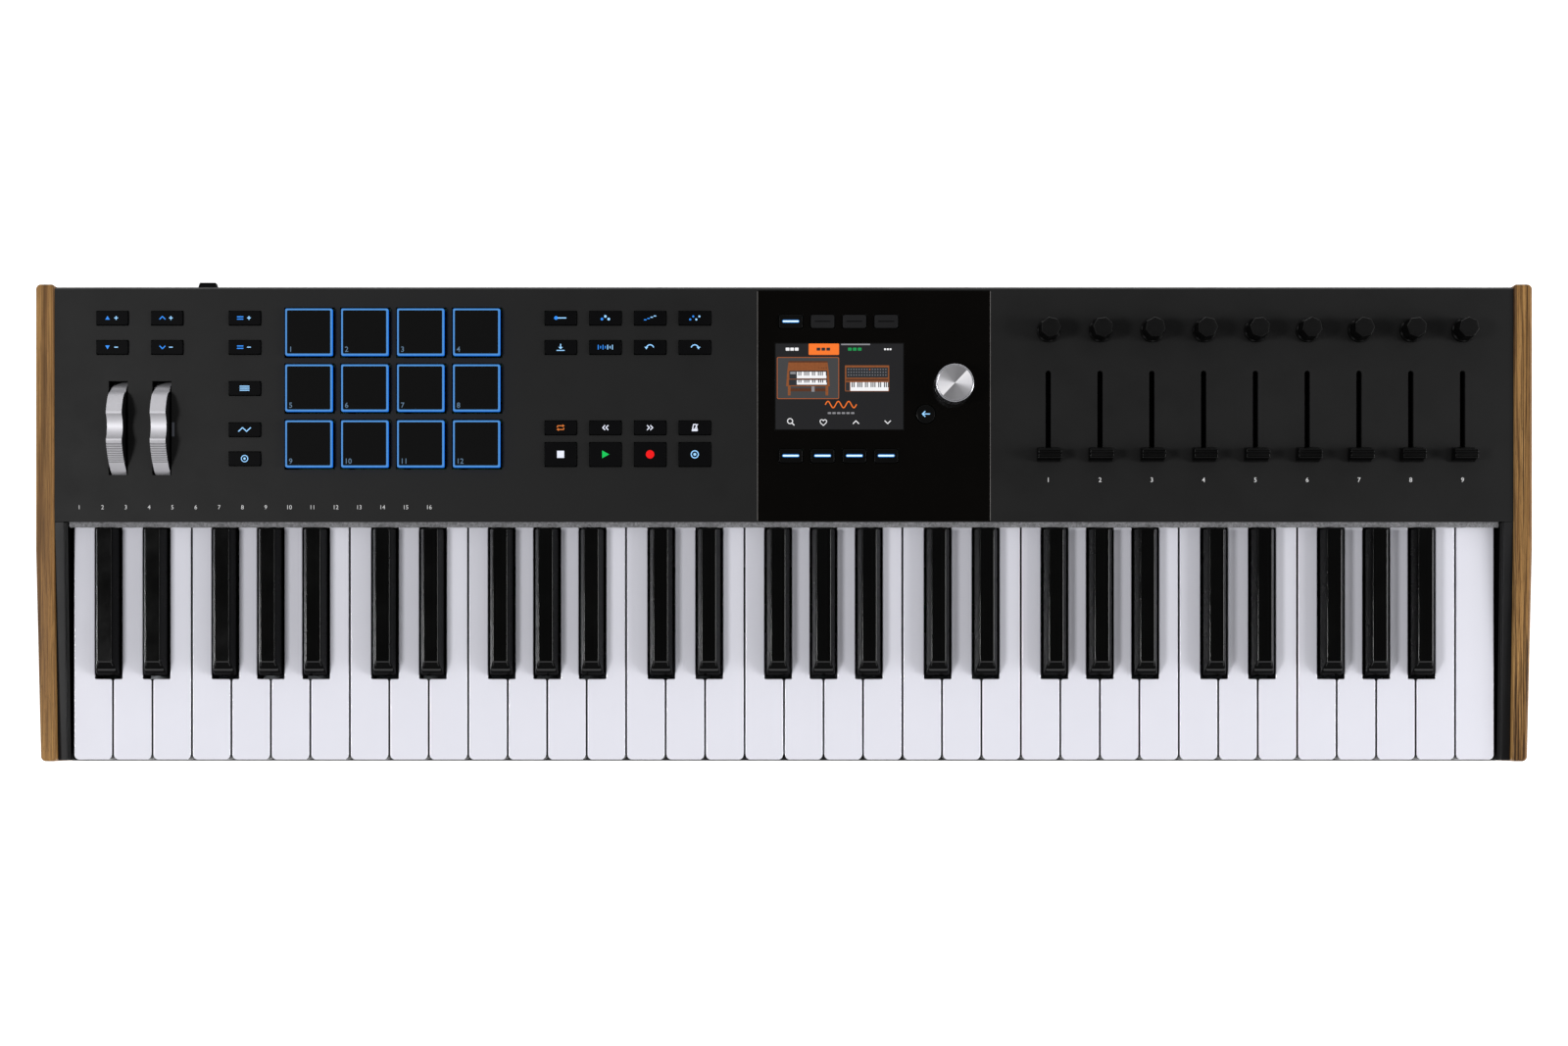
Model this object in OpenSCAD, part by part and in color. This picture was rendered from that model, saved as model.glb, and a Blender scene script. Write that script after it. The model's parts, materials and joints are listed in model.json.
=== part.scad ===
// Keyboard synthesizer controller with 61 keys, drum pads, encoders, faders, wheels and wooden cheeks.
// Frame: X along the keys, Y from the player to the rear, Z up; the feet rest on Z = 0.

/* [Case] */
// Width of the case between the two wooden cheeks
case_w = 864; // [864:0.5:868]
// Thickness of one wooden cheek
cheek_t = 11; // [8:0.5:16]
// Height of the control panel's top face above the table
panel_top = 60; // [60:0.5:64]
// Thickness of the control panel
panel_t = 2.6; // [2.4:0.1:2.8]
// Depth of the control panel from the keys to the rear edge
panel_d = 139; // [139:0.5:142]
// Height that the wooden cheeks stand above the control panel at the rear
cheek_rise = 1.5; // [0.5:0.25:3]
// Height of the rubber feet
foot_h = 4; // [3:0.5:4]

/* [Keys] */
// Distance from one white key to the next
key_pitch = 23.5; // [23.2:0.05:23.5]
// Gap between two white keys
key_gap = 0.85; // [0.7:0.05:1]
// Height of the white keys' top face
key_top = 52; // [51:0.25:52]
// Height of the black keys above the white ones
black_rise = 10.5; // [9:0.5:11]
// Width of a black key at its base
black_w = 14.2; // [13:0.1:14.4]
// Length of the white keys in front of the panel
key_len = 140.9; // [136:0.1:140.9]

/* [Controls] */
// Width of a rectangular button
button_w = 18.6; // [17:0.1:20]
// Depth of a rectangular button
button_d = 8.2; // [7.6:0.1:9.4]
// Height of a button above the panel
button_rise = 1.3; // [1:0.1:2]
// Side of a square drum pad
pad_w = 29.3; // [27:0.1:29.6]
// Height of a drum pad above the panel
pad_rise = 3.6; // [2.5:0.1:4.5]
// Radius of the wheels at the left end
wheel_r = 32.5; // [31.5:0.25:32.5]
// Thickness of a wheel
wheel_t = 9.3; // [8:0.1:10]
// Radius of the small encoder knobs at the base
knob_r = 7; // [6:0.1:8]
// Height of the small encoder knobs above the panel
knob_h = 16.5; // [14:0.5:18]
// Radius of the large encoder knob
dial_r = 11.5; // [10:0.1:12]
// Height of the large encoder knob above the panel
dial_h = 14; // [12:0.5:16]
// Height of the fader caps above the panel
cap_h = 11; // [9:0.5:12]

/* [Hidden] */

$fn = 48;
past = 1;
run_gap = 0.05;

half_w = case_w / 2;
front_y = -142;
wall = 1.6;
rear_wall = 2;
pan_z0 = foot_h;
pan_z1 = foot_h + 2;
seam_z = 24;
lip_top = 20.5;
under_z = panel_top - panel_t;

white_n = 36;
octaves = 5;
key_x0 = -white_n * key_pitch / 2;
key_bot = key_top - 20;
notch_y = -93;
notch_half = black_w / 2 + 1;
tail_top = 24;
tail_bot = 13;
tail_end = 80;
head_end = 10;
pivot_y = 72;
pivot_z = 18.5;
rod_r = 3;
fin_gap = 1.6;
fin_half = 0.9;
pocket_wall = 1.6;
pocket_roof = 2.4;
key_chamfer = 0.8;
key_corner = 1.6;
black_rear = -4.2;
black_front = -91.2;
sharp_at = [1, 2, 4, 5, 6];
sharp_shift = [-2.5, 2.5, -3.5, 0, 3.5];
sharp_left = [-1, 0, 1, -1, 2, 3, 4];
sharp_right = [0, 1, -1, 2, 3, 4, -1];

button_z0 = 50;
row_a = 120.4;
row_b = 103.1;
row_c = 78.8;
row_d = 54.4;
row_e = 37.2;
opening_gap = 0.3;
left_spots = [
    [-397.6, row_a], [-397.6, row_b], [-365.2, row_a], [-365.2, row_b], [-319.2, row_a],
    [-319.2, row_b], [-319.2, row_c], [-319.2, row_d], [-319.2, row_e]
];
mid_x = -132.2;
mid_pitch = 26.47;
small_row = 55.5;
large_row = 39.7;
large_d = 14.2;
pad_x = -280.9;
pad_pitch = 33.05;
pad_row = 111.8;
pad_z0 = 53;

glass_x0 = -15.7;
glass_x1 = 122.2;
glass_y1 = 137;
glass_z0 = 58.6;
glass_z1 = 60.1;
soft_x = 4;
soft_pitch = 18.83;
soft_w = 13.8;
soft_d = 7.7;
soft_rows = [118.4, 38.9];
screen_x = 32.8;
screen_y = 80;
screen_w = 76.2;
screen_d = 51.4;
dial_x = 100.4;
dial_y = 80.5;
back_x = 83.9;
back_y = 63.6;
back_r = 5.5;

strip_x = 156.5;
strip_pitch = 30.67;
strip_n = 9;
enc_y = 112.9;
knob_sides = 7;
knob_turn = 20;
shaft_r = 3;
shaft_top = 70.2;
bushing_r = 3.6;
bushing_hole = 3.9;
slot_y0 = 36.3;
slot_y1 = 89.4;
slot_half = 1.6;
fader_rest = 39.4;
cap_w = 14.2;
cap_d = 8.7;
rib_depth = 0.35;

wheel_xs = [-394.3, -368.5];
wheel_y = 55.4;
wheel_z = 40.5;
wheel_cut = 3.4;
wheel_hub = 6;
axle_r = 2.5;
slot_w = 11.4;
slot_d = 55.7;
ridge_half = 8;
dip_depth = 3;
dip_r = (ridge_half * ridge_half + dip_depth * dip_depth) / (2 * dip_depth);
ridge_z = sqrt(wheel_r * wheel_r - ridge_half * ridge_half);

board_z0 = 46;
board_z1 = 47.6;
power_x = -342.8;
power_w = 11.2;
power_out = 3.6;
jack_xs = [-165, -140, -115];
jack_r = 3.2;
jack_len = 14;
midi_xs = [-250, -218];
midi_r = 7;
midi_len = 9;
usb_x = -292;
socket_z = 36;
socket_y0 = 121;
socket_out = 140.2;
foot_xs = [-400, 0, 400];
foot_ys = [-118, 118];
foot_r = 9;
screw_xs = [-420, -210, 210, 420];
screw_ys = [-132, 0, 128];

module block(x0, x1, y0, y1, z0, z1) {
    translate([x0, y0, z0]) cube([x1 - x0, y1 - y0, z1 - z0]);
}

module centred_block(x, y, w, d, z0, z1) {
    block(x - w / 2, x + w / 2, y - d / 2, y + d / 2, z0, z1);
}

module rod_x(y, z, r, x0, x1) {
    translate([x0, y, z]) rotate([0, 90, 0]) cylinder(r = r, h = x1 - x0);
}

module rod_y(x, z, r, y0, y1) {
    translate([x, y1, z]) rotate([90, 0, 0]) cylinder(r = r, h = y1 - y0);
}

module post(x, y, r, z0, z1) {
    translate([x, y, z0]) cylinder(r = r, h = z1 - z0);
}

// A profile drawn in the YZ plane and given width along X.
module side_slab(points, x0, x1) {
    translate([x0, 0, 0]) rotate([90, 0, 90]) linear_extrude(height = x1 - x0) polygon(points);
}

// A rectangular tablet with cut corners, standing along Z.
module tablet(x, y, w, d, cut, z0, z1) {
    a = w / 2;
    b = d / 2;
    translate([x, y, z0]) linear_extrude(height = z1 - z0) polygon([
        [-a + cut, -b], [a - cut, -b], [a, -b + cut], [a, b - cut],
        [a - cut, b], [-a + cut, b], [-a, b - cut], [-a, -b + cut]
    ]);
}

// ---------- case ----------

module bottom_pan() color("#1d1d1f") difference() {
    block(-half_w, half_w, front_y, panel_d, pan_z0, pan_z1);
    for (x = screw_xs) for (y = screw_ys) post(x, y, 1.7, pan_z0 - past, pan_z1 + past);
}

// The front lip and the rear wall with the openings for the sockets and the power button.
module case_walls() color("#1d1d1f") difference() {
    union() {
        block(-half_w, half_w, front_y, front_y + wall, pan_z1, lip_top);
        block(-half_w, half_w, panel_d - rear_wall, panel_d, pan_z1, under_z);
    }
    centred_block(power_x, panel_d, power_w + 0.6, 8, 48, 53.6);
    for (x = jack_xs) rod_y(x, socket_z, jack_r + 2.7, panel_d - 3, panel_d + past);
    for (x = midi_xs) rod_y(x, socket_z, midi_r + 1.9, panel_d - 3, panel_d + past);
    centred_block(usb_x, panel_d, 11.6, 8, socket_z - 3, socket_z + 3);
}

module arm(s) {
    drop = 7.5;
    arm_front = front_y + 0.6;
    flat_x = half_w - 5.6;
    inner_x = half_w - 7.4;
    arm_top = [[arm_front, seam_z], [arm_front, panel_top - drop], [0, panel_top], [0, seam_z]];
    arm_step = [[arm_front, seam_z], [arm_front, panel_top - drop - 2], [0, panel_top - 2], [0, seam_z]];
    if (s > 0) {
        side_slab(arm_top, flat_x, half_w);
        side_slab(arm_step, inner_x, flat_x);
    } else {
        side_slab(arm_top, -half_w, -flat_x);
        side_slab(arm_step, -flat_x, -inner_x);
    }
}

module end_blocks() color("#232325") union() {
    arm(-1);
    arm(1);
    for (x = [-half_w, half_w - wall]) {
        block(x, x + wall, front_y + wall, panel_d - rear_wall, pan_z1, seam_z);
        block(x, x + wall, 0, panel_d - rear_wall, seam_z, under_z);
    }
}

module button_openings() {
    g = 2 * opening_gap;
    z0 = under_z - past;
    z1 = panel_top + past;
    for (p = left_spots) centred_block(p[0], p[1], button_w + g, button_d + g, z0, z1);
    for (i = [0:3]) {
        x = mid_x + i * mid_pitch;
        centred_block(x, row_a, button_w + g, button_d + g, z0, z1);
        centred_block(x, row_b, button_w + g, button_d + g, z0, z1);
        centred_block(x, small_row, button_w + g, button_d + g, z0, z1);
        centred_block(x, large_row, button_w + g, large_d + g, z0, z1);
    }
    for (i = [0:3]) for (j = [0:2])
        centred_block(pad_x + i * pad_pitch, pad_row - j * pad_pitch, pad_w + g, pad_w + g, z0, z1);
}

module soft_openings(z0, z1) {
    g = 2 * opening_gap;
    for (i = [0:3]) for (y = soft_rows)
        centred_block(soft_x + i * soft_pitch, y, soft_w + g, soft_d + g, z0, z1);
    centred_block(screen_x, screen_y, screen_w, screen_d, z0, z1);
    post(dial_x, dial_y, shaft_r + 1, z0, z1);
    post(back_x, back_y, back_r + opening_gap, z0, z1);
}

module top_panel() color("#2f2f31") difference() {
    union() {
        block(-half_w, half_w, 0, panel_d, under_z, panel_top);
        block(key_x0, -key_x0, 0, 2, under_z - 4.2, under_z);
    }
    side_slab([[panel_d - 2, panel_top + past], [panel_d + past, panel_top + past],
        [panel_d + past, panel_top - 3], [panel_d, panel_top - 2]], -half_w - past, half_w + past);
    block(glass_x0, glass_x1, -past, glass_y1, glass_z0, panel_top + past);
    button_openings();
    soft_openings(under_z - past, panel_top + past);
    for (x = wheel_xs) centred_block(x, wheel_y, slot_w, slot_d, under_z - past, panel_top + past);
    for (n = [0:strip_n - 1]) {
        x = strip_x + n * strip_pitch;
        post(x, enc_y, bushing_hole, under_z - past, panel_top + past);
        block(x - slot_half, x + slot_half, slot_y0 + slot_half, slot_y1 - slot_half, under_z - past,
            panel_top + past);
        for (y = [slot_y0 + slot_half, slot_y1 - slot_half])
            post(x, y, slot_half, under_z - past, panel_top + past);
    }
}

module glass_panel() color("#050506") difference() {
    block(glass_x0 + 0.15, glass_x1 - 0.15, 0.15, glass_y1 - 0.15, glass_z0, glass_z1);
    soft_openings(glass_z0 - past, glass_z1 + past);
}

module display_module() color("#22262c") union() {
    centred_block(screen_x, screen_y, screen_w - 0.4, screen_d - 0.4, under_z - past, panel_top);
    centred_block(screen_x, screen_y, screen_w + 6, screen_d + 6, 50, under_z);
    centred_block(screen_x, screen_y, 30, 20, board_z1, 50);
}

// What is left of a square corner outside a post of radius r; sx and sy point out of the corner.
module corner_waste(x, y, r, sx, sy) {
    difference() {
        block(min(x, x + sx * (r + past)), max(x, x + sx * (r + past)),
            min(y, y + sy * (r + past)), max(y, y + sy * (r + past)), 0, panel_top + 10);
        post(x, y, r, -past, panel_top + 11);
    }
}

module cheek(s) {
    x0 = half_w;
    x1 = half_w + cheek_t;
    rear = 140.5;
    top = panel_top + cheek_rise;
    side = [[front_y, 3], [front_y, top - 3.5], [-16, top], [rear, top], [rear, 3]];
    taper = 2;
    round_r = 3;
    inner_r = 2;
    front_x = x1 - taper;
    plan = [
        [x0, front_y], [front_x, front_y], [front_x, front_y + round_r], [x1, -16], [x1, rear], [x0, rear]
    ];
    mirror([s > 0 ? 0 : 1, 0, 0]) difference() {
        intersection() {
            linear_extrude(height = panel_top + cheek_rise + past) polygon(plan);
            side_slab(side, x0 - past, x1 + past);
        }
        corner_waste(front_x - round_r, front_y + round_r, round_r, 1, -1);
        corner_waste(x1 - round_r, rear - round_r, round_r, 1, 1);
        corner_waste(x0 + inner_r, rear - inner_r, inner_r, -1, 1);
    }
}

module side_cheek_left() color("#9b784b") cheek(-1);

module side_cheek_right() color("#9b784b") cheek(1);

module rubber_feet() color("#141414") union() {
    for (x = foot_xs) for (y = foot_ys) post(x, y, foot_r, 0, pan_z0);
}

module case_screws() color("#6f7276") union() {
    for (x = screw_xs) for (y = screw_ys) {
        post(x, y, 1.5, pan_z0, pan_z1);
        post(x, y, 3, pan_z0 - 0.8, pan_z0);
    }
}

// ---------- keybed ----------

module keybed_chassis() color("#8d9196") difference() {
    union() {
        block(-half_w + 2, half_w - 2, -138, 92, pan_z1, pan_z1 + 1.5);
        block(key_x0, -key_x0, -130, -116, pan_z1 + 1.5, 20);
        for (i = [0:white_n - 1])
            centred_block(key_x0 + (i + 0.5) * key_pitch, -123, 3, 8, 20, 36);
        for (k = [1:octaves - 1])
            centred_block(key_x0 + 7 * k * key_pitch, pivot_y, 2 * fin_half, 14, pan_z1 + 1.5, 24);
        for (s = [-1, 1])
            centred_block(s * (half_w - 5), pivot_y, 6, 16, pan_z1 + 1.5, 25);
    }
    rod_x(pivot_y, pivot_z, rod_r + run_gap, -half_w, half_w);
}

module key_pivot_rod() color("#b4b7bb") rod_x(pivot_y, pivot_z, rod_r, -half_w + 2, half_w - 2);

module felt_strips() color("#55565a") union() {
    block(key_x0 - 1, 1 - key_x0, -3.3, 0, under_z - 4, under_z - 0.4);
    block(key_x0, -key_x0, -116, -106, 20, 22.8);
    block(key_x0, -key_x0, -116, -106, pan_z1 + 1.5, 20);
}

function sharp_x(oct, i) = key_x0 + (oct * 7 + sharp_at[i]) * key_pitch + sharp_shift[i];

// w is the white key's place in the octave, 0 for C; lone is the last key, with no black key after it.
module white_key(w, oct, lone = false) {
    x0 = key_x0 + (oct * 7 + w) * key_pitch;
    xl = x0 + key_gap / 2;
    xr = x0 + key_pitch - key_gap / 2;
    rl = sharp_left[w] < 0 ? xl : sharp_x(oct, sharp_left[w]) + notch_half;
    rr = (sharp_right[w] < 0 || lone) ? xr : sharp_x(oct, sharp_right[w]) - notch_half;
    tl = w == 0 ? x0 + fin_gap : rl;
    tr = w == 6 ? x0 + key_pitch - fin_gap : rr;
    front = -key_len;
    difference() {
        union() {
            intersection() {
                side_slab([[front, key_bot], [front, key_top - key_chamfer], [front + key_chamfer, key_top],
                    [notch_y, key_top], [notch_y, key_bot]], xl, xr);
                linear_extrude(height = key_top + past) polygon([[xl, front + key_corner],
                    [xl + key_corner, front], [xr - key_corner, front], [xr, front + key_corner],
                    [xr, notch_y], [xl, notch_y]]);
            }
            side_slab([[notch_y, key_bot], [notch_y, key_top], [head_end, key_top], [head_end + 12, 26],
                [head_end - 2, 26], [-6, key_bot]], rl, rr);
            side_slab([[-6, key_bot], [head_end + 8, 34.7], [head_end + 12, tail_top],
                [tail_end, tail_top], [tail_end, tail_bot], [head_end, tail_bot]], tl, tr);
        }
        block(xl + pocket_wall, xr - pocket_wall, front + pocket_wall, notch_y - pocket_wall,
            key_bot - past, key_top - pocket_roof);
        rod_x(pivot_y, pivot_z, rod_r + run_gap, tl - past, tr + past);
    }
}

module black_key(i, oct) {
    x = sharp_x(oct, i);
    b = black_w / 2;
    top = key_top + black_rise;
    base = key_top - 2;
    half_tail = b - 0.8;
    difference() {
        union() {
            intersection() {
                translate([x, black_rear, 0]) rotate([90, 0, 0])
                    linear_extrude(height = black_rear - black_front) polygon([
                        [-b, base], [b, base], [b, key_top + 0.5], [b - 1.6, top - 1.8], [b - 2.3, top - 0.6],
                        [b - 3.4, top], [-b + 3.4, top], [-b + 2.3, top - 0.6], [-b + 1.6, top - 1.8],
                        [-b, key_top + 0.5]
                    ]);
                side_slab([[black_front, base], [black_front, key_top], [black_front + 6.4, top - 1.2],
                    [black_front + 8, top], [black_rear, top], [black_rear, base]], x - b, x + b);
            }
            side_slab([[black_front + 1, key_bot + 4], [black_front + 1, base], [head_end, base],
                [head_end + 12, 26], [head_end - 2, 26], [-6, key_bot + 4]], x - half_tail, x + half_tail);
            side_slab([[-6, key_bot + 4], [head_end + 8, 34.7], [head_end + 12, tail_top],
                [tail_end, tail_top], [tail_end, tail_bot], [head_end, tail_bot]],
                x - half_tail, x + half_tail);
        }
        rod_x(pivot_y, pivot_z, rod_r + run_gap, x - b, x + b);
    }
}

module white_set(w) color("#e6e6ec") {
    for (o = [0:octaves - 1]) white_key(w, o);
    if (w == 0) white_key(0, octaves, true);
}

module black_set(i) color("#101011") {
    for (o = [0:octaves - 1]) black_key(i, o);
}

module key_c() white_set(0);
module key_c_sharp() black_set(0);
module key_d() white_set(1);
module key_d_sharp() black_set(1);
module key_e() white_set(2);
module key_f() white_set(3);
module key_f_sharp() black_set(2);
module key_g() white_set(4);
module key_g_sharp() black_set(3);
module key_a() white_set(5);
module key_a_sharp() black_set(4);
module key_b() white_set(6);

// ---------- electronics ----------

// The main board under the panel, and the key contact board with its rubber domes on the chassis.
module circuit_boards() color("#184030") union() {
    difference() {
        block(-half_w + 6, half_w - 6, 16, 135.5, board_z0, board_z1);
        block(-406, -357, 16 - past, 94, board_z0 - past, board_z1 + past);
    }
    for (x = [-424, -300, -150, -30, 136, 290, 424]) for (y = [20.5, 131.5])
        if (x > -424 || y > 100) post(x, y, 2.2, board_z1, under_z);
    centred_block(power_x, 126.5, 9, 6, board_z1, 53);
    block(key_x0, -key_x0, -64, -24, pan_z1 + 1.5, pan_z1 + 3.1);
    block(key_x0, -key_x0, -47, -35, pan_z1 + 3.1, 25.5);
    for (j = [0:2])
        block(pad_x - pad_w / 2 - 1, pad_x + 3 * pad_pitch + pad_w / 2 + 1,
            pad_row - j * pad_pitch - 13, pad_row - j * pad_pitch + 13, board_z1, 52);
}

module fader_tracks() color("#3a3b3f") difference() {
    union() {
        for (n = [0:strip_n - 1])
            centred_block(strip_x + n * strip_pitch, 63, 9, 64, board_z1, under_z);
    }
    for (n = [0:strip_n - 1])
        block(strip_x + n * strip_pitch - slot_half, strip_x + n * strip_pitch + slot_half,
            slot_y0, slot_y1, 50, under_z + past);
}

module encoder_bodies() color("#77797d") union() {
    for (n = [0:strip_n - 1]) {
        x = strip_x + n * strip_pitch;
        centred_block(x, enc_y, 12, 12, board_z1, under_z);
        post(x, enc_y, bushing_r, under_z, panel_top + 0.3);
        post(x, enc_y, shaft_r, panel_top + 0.3, shaft_top);
    }
    difference() {
        centred_block(dial_x, dial_y, 14, 14, board_z1, 56);
        post(dial_x, dial_y, shaft_r + run_gap, 50.5, 56 + past);
    }
}

module wheel_bracket() color("#2a2b2e") union() {
    for (x = [-403.2, -381.4, -359.6]) centred_block(x, wheel_y, 2, 34, 33, under_z);
    rod_x(wheel_y, wheel_z, axle_r, -402.2, -360.6);
}

module rear_sockets() color("#1a1a1c") difference() {
    union() {
        for (x = jack_xs) {
            block(x - 7.5, x + 7.5, socket_y0, panel_d - rear_wall, 28, 44);
            rod_y(x, socket_z, jack_r + 2.4, panel_d - rear_wall, socket_out);
        }
        for (x = midi_xs) {
            block(x - 10, x + 10, socket_y0, panel_d - rear_wall, 26.5, 45);
            rod_y(x, socket_z, midi_r + 1.6, panel_d - rear_wall, panel_d + 0.3);
        }
        centred_block(usb_x, (socket_y0 + panel_d) / 2, 11, panel_d - socket_y0,
            socket_z - 2.7, socket_z + 2.7);
    }
    for (x = jack_xs) rod_y(x, socket_z, jack_r, socket_out - jack_len, socket_out + past);
    for (x = midi_xs) rod_y(x, socket_z, midi_r, panel_d + 0.3 - midi_len, panel_d + past);
    centred_block(usb_x, panel_d, 9, 12, socket_z - 1.65, socket_z + 1.65);
}

// ---------- controls ----------

module fader_cap(n) color("#101011") {
    x = strip_x + n * strip_pitch;
    z0 = panel_top + 0.8;
    z1 = panel_top + cap_h;
    union() {
        block(x - 0.8, x + 0.8, fader_rest - 2.5, fader_rest + 2.5, 51, z0);
        side_slab([
            [fader_rest - cap_d / 2, z0], [fader_rest - cap_d / 2, z0 + 2], [fader_rest - 3, z0 + 5.5],
            [fader_rest - 2.6, z1], [fader_rest - 2.1, z1], [fader_rest - 1.8, z1 - rib_depth],
            [fader_rest - 1.5, z1], [fader_rest - 0.4, z1], [fader_rest, z1 - 0.6], [fader_rest + 0.4, z1],
            [fader_rest + 1.5, z1], [fader_rest + 1.8, z1 - rib_depth], [fader_rest + 2.1, z1],
            [fader_rest + 2.6, z1], [fader_rest + 3, z0 + 5.5], [fader_rest + cap_d / 2, z0 + 2],
            [fader_rest + cap_d / 2, z0]
        ], x - cap_w / 2 + 0.2, x + cap_w / 2 - 0.2);
        centred_block(x, fader_rest, cap_w, cap_d, z0, z0 + 2);
    }
}

module fader_cap_1() fader_cap(0);
module fader_cap_2() fader_cap(1);
module fader_cap_3() fader_cap(2);
module fader_cap_4() fader_cap(3);
module fader_cap_5() fader_cap(4);
module fader_cap_6() fader_cap(5);
module fader_cap_7() fader_cap(6);
module fader_cap_8() fader_cap(7);
module fader_cap_9() fader_cap(8);

module encoder_knob(n) color("#121214") {
    x = strip_x + n * strip_pitch;
    z0 = panel_top + 0.8;
    difference() {
        union() {
            post(x, enc_y, knob_r, z0, z0 + 2.6);
            translate([x, enc_y, z0 + 2.6]) rotate([0, 0, knob_turn * (n % 3)])
                cylinder(r1 = knob_r - 0.4, r2 = knob_r - 0.9, h = knob_h - 3.4, $fn = knob_sides);
        }
        post(x, enc_y, shaft_r + run_gap, z0 - past, shaft_top + 0.3);
    }
}

module encoder_knob_1() encoder_knob(0);
module encoder_knob_2() encoder_knob(1);
module encoder_knob_3() encoder_knob(2);
module encoder_knob_4() encoder_knob(3);
module encoder_knob_5() encoder_knob(4);
module encoder_knob_6() encoder_knob(5);
module encoder_knob_7() encoder_knob(6);
module encoder_knob_8() encoder_knob(7);
module encoder_knob_9() encoder_knob(8);

module wheel(x) color("#c9c9cf") translate([x, wheel_y, wheel_z]) difference() {
    union() {
        difference() {
            rod_x(0, 0, wheel_r, -wheel_t / 2, wheel_t / 2);
            block(-wheel_t, wheel_t, -wheel_r - past, wheel_r + past, -wheel_r - past, wheel_cut);
        }
        rod_x(0, 0, wheel_hub, -wheel_t / 2, wheel_t / 2);
    }
    rod_x(0, ridge_z + dip_r - dip_depth, dip_r, -wheel_t, wheel_t);
    rod_x(0, 0, axle_r + run_gap, -wheel_t, wheel_t);
}

module pitch_wheel() wheel(wheel_xs[0]);
module mod_wheel() wheel(wheel_xs[1]);

module main_encoder_shaft() color("#a5a7ab") post(dial_x, dial_y, shaft_r, 51.6, shaft_top);

module main_encoder_knob() color("#c2c3c8") difference() {
    union() {
        post(dial_x, dial_y, dial_r, glass_z1 + 1.1, panel_top + dial_h - 1);
        post(dial_x, dial_y, dial_r - 1, panel_top + dial_h - 1, panel_top + dial_h);
    }
    post(dial_x, dial_y, shaft_r + run_gap, glass_z1, shaft_top + 0.3);
}

module pads(j) color("#16161a") {
    for (i = [0:3])
        tablet(pad_x + i * pad_pitch, pad_row - j * pad_pitch, pad_w, pad_w, 1.2, pad_z0,
            panel_top + pad_rise);
}

module pads_row_1() pads(0);
module pads_row_2() pads(1);
module pads_row_3() pads(2);

module left_buttons() color("#121213") {
    for (p = left_spots) tablet(p[0], p[1], button_w, button_d, 0.6, button_z0, panel_top + button_rise);
}

module edit_buttons() color("#121213") {
    for (i = [0:3]) for (y = [row_a, row_b])
        tablet(mid_x + i * mid_pitch, y, button_w, button_d, 0.6, button_z0, panel_top + button_rise);
}

module transport_buttons() color("#121213") {
    for (i = [0:3]) {
        x = mid_x + i * mid_pitch;
        tablet(x, small_row, button_w, button_d, 0.6, button_z0, panel_top + button_rise);
        tablet(x, large_row, button_w, large_d, 0.6, button_z0, panel_top + button_rise);
    }
}

module screen_buttons() color("#121213") {
    for (i = [0:3]) for (y = soft_rows)
        tablet(soft_x + i * soft_pitch, y, soft_w, soft_d, 0.6, button_z0, panel_top + button_rise);
    post(back_x, back_y, back_r, button_z0, panel_top + button_rise);
}

module power_button() color("#141416") union() {
    block(power_x - power_w / 2, power_x + power_w / 2, panel_d - 3, panel_d + 0.6, 48.3, 53.3);
    translate([0, 0, 48.3]) linear_extrude(height = 5) polygon([
        [power_x - power_w / 2, panel_d + 0.6], [power_x + power_w / 2, panel_d + 0.6],
        [power_x + power_w / 2 - 0.8, panel_d + power_out],
        [power_x - power_w / 2 + 0.8, panel_d + power_out]
    ]);
    block(power_x - 3, power_x + 3, 131.2, panel_d - 3, 49, 52.6);
}

bottom_pan();
case_walls();
top_panel();
glass_panel();
display_module();
side_cheek_left();
side_cheek_right();
end_blocks();
keybed_chassis();
key_pivot_rod();
felt_strips();
circuit_boards();
fader_tracks();
encoder_bodies();
wheel_bracket();
rear_sockets();
rubber_feet();
case_screws();
key_c();
key_c_sharp();
key_d();
key_d_sharp();
key_e();
key_f();
key_f_sharp();
key_g();
key_g_sharp();
key_a();
key_a_sharp();
key_b();
fader_cap_1();
fader_cap_2();
fader_cap_3();
fader_cap_4();
fader_cap_5();
fader_cap_6();
fader_cap_7();
fader_cap_8();
fader_cap_9();
encoder_knob_1();
encoder_knob_2();
encoder_knob_3();
encoder_knob_4();
encoder_knob_5();
encoder_knob_6();
encoder_knob_7();
encoder_knob_8();
encoder_knob_9();
pitch_wheel();
mod_wheel();
main_encoder_shaft();
main_encoder_knob();
pads_row_1();
pads_row_2();
pads_row_3();
left_buttons();
edit_buttons();
transport_buttons();
screen_buttons();
power_button();
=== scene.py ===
import json
from math import acos, asin, atan2, cos, pi, radians, sin, sqrt, tan

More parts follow.
